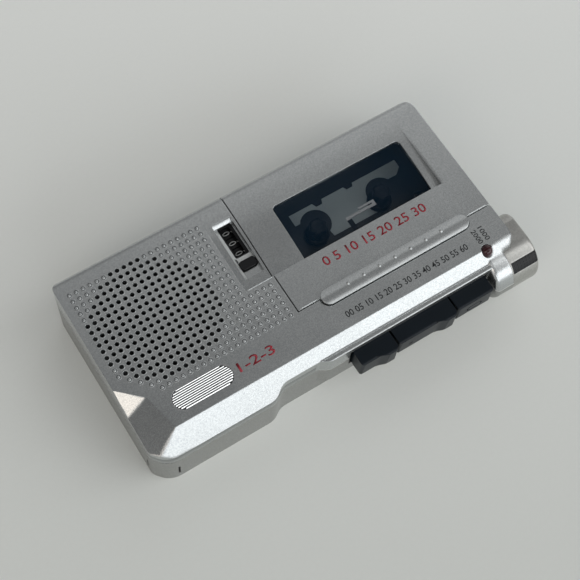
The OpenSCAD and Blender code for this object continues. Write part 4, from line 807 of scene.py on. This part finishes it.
def screenTree():
    # rows of small pips wrapped on the barrel where the microphone screen is
    tree, given, out = startTree("screenPips", {
        "length": "NodeSocketFloat", "arc": "NodeSocketFloat", "columns": "NodeSocketInt",
        "rows": "NodeSocketInt", "radius": "NodeSocketFloat", "start": "NodeSocketFloat",
        "axisY": "NodeSocketFloat", "axisZ": "NodeSocketFloat", "lean": "NodeSocketFloat",
        "shape": "NodeSocketObject", "finish": "NodeSocketMaterial"})
    grid = addNode(tree, "GeometryNodeMeshGrid", {}, {
        "Size X": given["length"], "Size Y": given["arc"],
        "Vertices X": given["columns"], "Vertices Y": given["rows"]})
    place = addNode(tree, "GeometryNodeInputPosition").outputs[0]
    axes = addNode(tree, "ShaderNodeSeparateXYZ", {}, {0: place})
    turn = addNode(tree, "ShaderNodeMath", {"operation": "ADD"}, {0: axes.outputs["Y"], 1: given["lean"]})
    sine = addNode(tree, "ShaderNodeMath", {"operation": "SINE"}, {0: turn.outputs[0]})
    cosine = addNode(tree, "ShaderNodeMath", {"operation": "COSINE"}, {0: turn.outputs[0]})
    negated = addNode(tree, "ShaderNodeMath", {"operation": "MULTIPLY", 1: -1.0}, {0: sine.outputs[0]})
    normal = addNode(tree, "ShaderNodeCombineXYZ", {}, {"Y": negated.outputs[0], "Z": cosine.outputs[0]})
    reach = addNode(tree, "ShaderNodeVectorMath", {"operation": "SCALE"},
                    {0: normal.outputs[0], "Scale": given["radius"]})
    along = addNode(tree, "ShaderNodeMath", {"operation": "ADD"}, {0: axes.outputs["X"], 1: given["start"]})
    base = addNode(tree, "ShaderNodeCombineXYZ", {},
                   {"X": along.outputs[0], "Y": given["axisY"], "Z": given["axisZ"]})
    spot = addNode(tree, "ShaderNodeVectorMath", {"operation": "ADD"},
                   {0: base.outputs[0], 1: reach.outputs[0]})
    kept = addNode(tree, "GeometryNodeCaptureAttribute", {}, {"Geometry": grid.outputs["Mesh"]})
    kept.capture_items.new("VECTOR", "normal")
    tree.links.new(normal.outputs[0], kept.inputs["normal"])
    wrapped = addNode(tree, "GeometryNodeSetPosition", {},
                      {"Geometry": kept.outputs["Geometry"], "Position": spot.outputs[0]})
    points = addNode(tree, "GeometryNodeMeshToPoints", {}, {"Mesh": wrapped.outputs[0]})
    aimed = addNode(tree, "FunctionNodeAlignRotationToVector", {"axis": "Z"},
                    {"Vector": kept.outputs["normal"]})
    source = addNode(tree, "GeometryNodeObjectInfo", {}, {"Object": given["shape"]})
    copies = addNode(tree, "GeometryNodeInstanceOnPoints", {}, {
        "Points": points.outputs[0], "Instance": source.outputs["Geometry"], "Rotation": aimed.outputs[0]})
    solid = addNode(tree, "GeometryNodeRealizeInstances", {}, {0: copies.outputs[0]})
    painted = addNode(tree, "GeometryNodeSetMaterial", {}, {0: solid.outputs[0], "Material": given["finish"]})
    tree.links.new(painted.outputs[0], out.inputs["Geometry"])
    return tree


def addScreenPips():
    look = {"length": 7.0 * mm, "columns": 8, "rows": 4, "arc": math.radians(17), "radius": 8.58 * mm,
            "start": 57.6 * mm, "axisY": -24.1 * mm, "axisZ": 11.6 * mm, "lean": math.radians(44.5),
            "finish": blackPlastic}
    pip = latheMesh("pip", [(0.24 * mm, 0.0), (0.2 * mm, 0.05 * mm), (0.0, 0.07 * mm)], 8)
    template = bpy.data.objects.new("pip", pip)
    bakeTree("screen_pips", screenTree(), {**look, "shape": template}, "cabinet")
    bpy.data.objects.remove(template)


addScreenPips()


def addKeyMark():
    # small raised square near the free end of the play key, to find it by touch
    look = {"half": 0.5, "x": 18.8, "z": 12.2, "face": 32.1, "sink": 0.02, "rise": 0.1}
    x0, x1 = look["x"] - look["half"], look["x"] + look["half"]
    z0, z1 = look["z"] - look["half"], look["z"] + look["half"]
    square = [(x0, z0), (x1, z0), (x1, z1), (x0, z1)]
    mesh = slabMesh("play_mark", [square], look["face"] - look["sink"], look["face"] + look["rise"])
    mesh.transform(Matrix.Rotation(math.pi / 2, 4, "X"))
    meshPiece("play_mark", mesh, blackPlastic, "play")


addKeyMark()
print("details added")


def addFloor():
    # pale laminate table top with a faint speckle, and painted light that leaves it paler towards the far side
    look = {"name": "pale_laminate", "dark": "d3d7d3", "light": "f3f6f3", "grain": 1.2 * mm, "cloud": 120 * mm,
            "rough": (0.5, 0.6), "relief": 0.05, "metal": 0.0, "ior": 1.5,
            "lightFade": {"way": (0.47, 0.88, 0.0), "reach": 0.1, "share": 0.8}}
    half = 4.0
    mesh = bpy.data.meshes.new("floor")
    corners = [(-half, -half, 0), (half, -half, 0), (half, half, 0), (-half, half, 0)]
    mesh.from_pydata(corners, [], [(0, 1, 2, 3)])
    floor = bpy.data.objects.new("floor", mesh)
    mesh.materials.append(grainMaterial(look))
    scene.collection.objects.link(floor)


addFloor()


def addLamps():
    # a long window in front, and two warm lamps low on the left
    lamps = {"frontBox": {"place": (0.40, -1.60, 0.56), "target": (0, 0, 0.02), "size": (2.8, 0.9),
                          "radiance": 1.8, "colour": "fbfdff"},
             "sideLamp": {"place": (-0.725, -0.512, 0.654), "target": (-0.054, -0.013, 0.02),
                          "size": (0.4, 0.4), "radiance": 1.5, "colour": "ffefe0"},
             "lowGlow": {"place": (-0.95, -0.24, 0.38), "target": (-0.054, -0.02, 0.02), "size": (0.5, 0.3),
                         "radiance": 1.3, "colour": "ffeddd"}}
    for name, look in lamps.items():
        data = bpy.data.lights.new(name, "AREA")
        data.shape = "RECTANGLE"
        data.size, data.size_y = look["size"]
        data.energy = look["radiance"] * math.pi * data.size * data.size_y
        data.color = hexColour(look["colour"])[:3]
        lamp = bpy.data.objects.new(name, data)
        lamp.location = look["place"]
        aim = Vector(look["target"]) - Vector(look["place"])
        lamp.rotation_euler = aim.to_track_quat("-Z", "Y").to_euler()
        scene.collection.objects.link(lamp)


addLamps()


def addWorld():
    # dim room: bright ceiling over the near side, a dark beam, a paler stretch beyond and a dim far wall
    look = {"bands": [(-1.0, 0.45), (-0.55, 0.72), (-0.34, 1.25), (-0.20, 1.25), (-0.10, 0.30), (0.30, 0.24),
                      (0.40, 0.58), (0.62, 0.52), (0.82, 0.42), (1.0, 0.40)],
            "sideFrom": (0.10, 0.5), "sideTo": (0.66, 1.40)}   # lighter towards +X
    world = bpy.data.worlds.new("room")
    scene.world = world
    world.use_nodes = True
    tree = world.node_tree
    background = tree.nodes["Background"]
    way = addNode(tree, "ShaderNodeTexCoord").outputs["Generated"]
    axes = addNode(tree, "ShaderNodeSeparateXYZ", {}, {0: way})
    across = addNode(tree, "ShaderNodeMapRange", {"From Min": -1.0, "From Max": 1.0},
                     {"Value": axes.outputs["Y"]})
    ramp = addNode(tree, "ShaderNodeValToRGB", {}, {"Fac": across.outputs["Result"]})
    stops = ramp.color_ramp.elements
    for k, (y, level) in enumerate(look["bands"]):
        stop = stops[k] if k < 2 else stops.new((y + 1) / 2)   # a ramp starts with two stops
        stop.position, stop.color = (y + 1) / 2, (level, level, level, 1.0)
    side = addNode(tree, "ShaderNodeMapRange",
                   {"From Min": look["sideFrom"][0], "From Max": look["sideFrom"][1],
                    "To Min": look["sideTo"][0], "To Max": look["sideTo"][1]}, {"Value": axes.outputs["X"]})
    tree.links.new(ramp.outputs["Color"], background.inputs["Color"])
    tree.links.new(side.outputs["Result"], background.inputs["Strength"])


addWorld()


def addCamera():
    look = {"place": (-0.0884, -0.1135, 0.3230), "right": (0.84477, -0.53306, 0.04698),
            "down": (-0.46960, -0.78056, -0.41256), "forward": (0.25659, 0.32646, -0.90972),
            "lens": 77.59, "sensor": 36.0, "clipStart": 0.01}
    data = bpy.data.cameras.new("camera")
    data.lens, data.sensor_width = look["lens"], look["sensor"]
    data.sensor_fit = "HORIZONTAL"
    data.clip_start = look["clipStart"]
    camera = bpy.data.objects.new("camera", data)
    turn = Matrix([[look["right"][i], -look["down"][i], -look["forward"][i]] for i in range(3)]).to_4x4()
    camera.matrix_world = Matrix.Translation(look["place"]) @ turn
    scene.collection.objects.link(camera)
    scene.camera = camera


addCamera()
scene.view_settings.view_transform = "Standard"
bpy.context.view_layer.update()
print("scene ready")
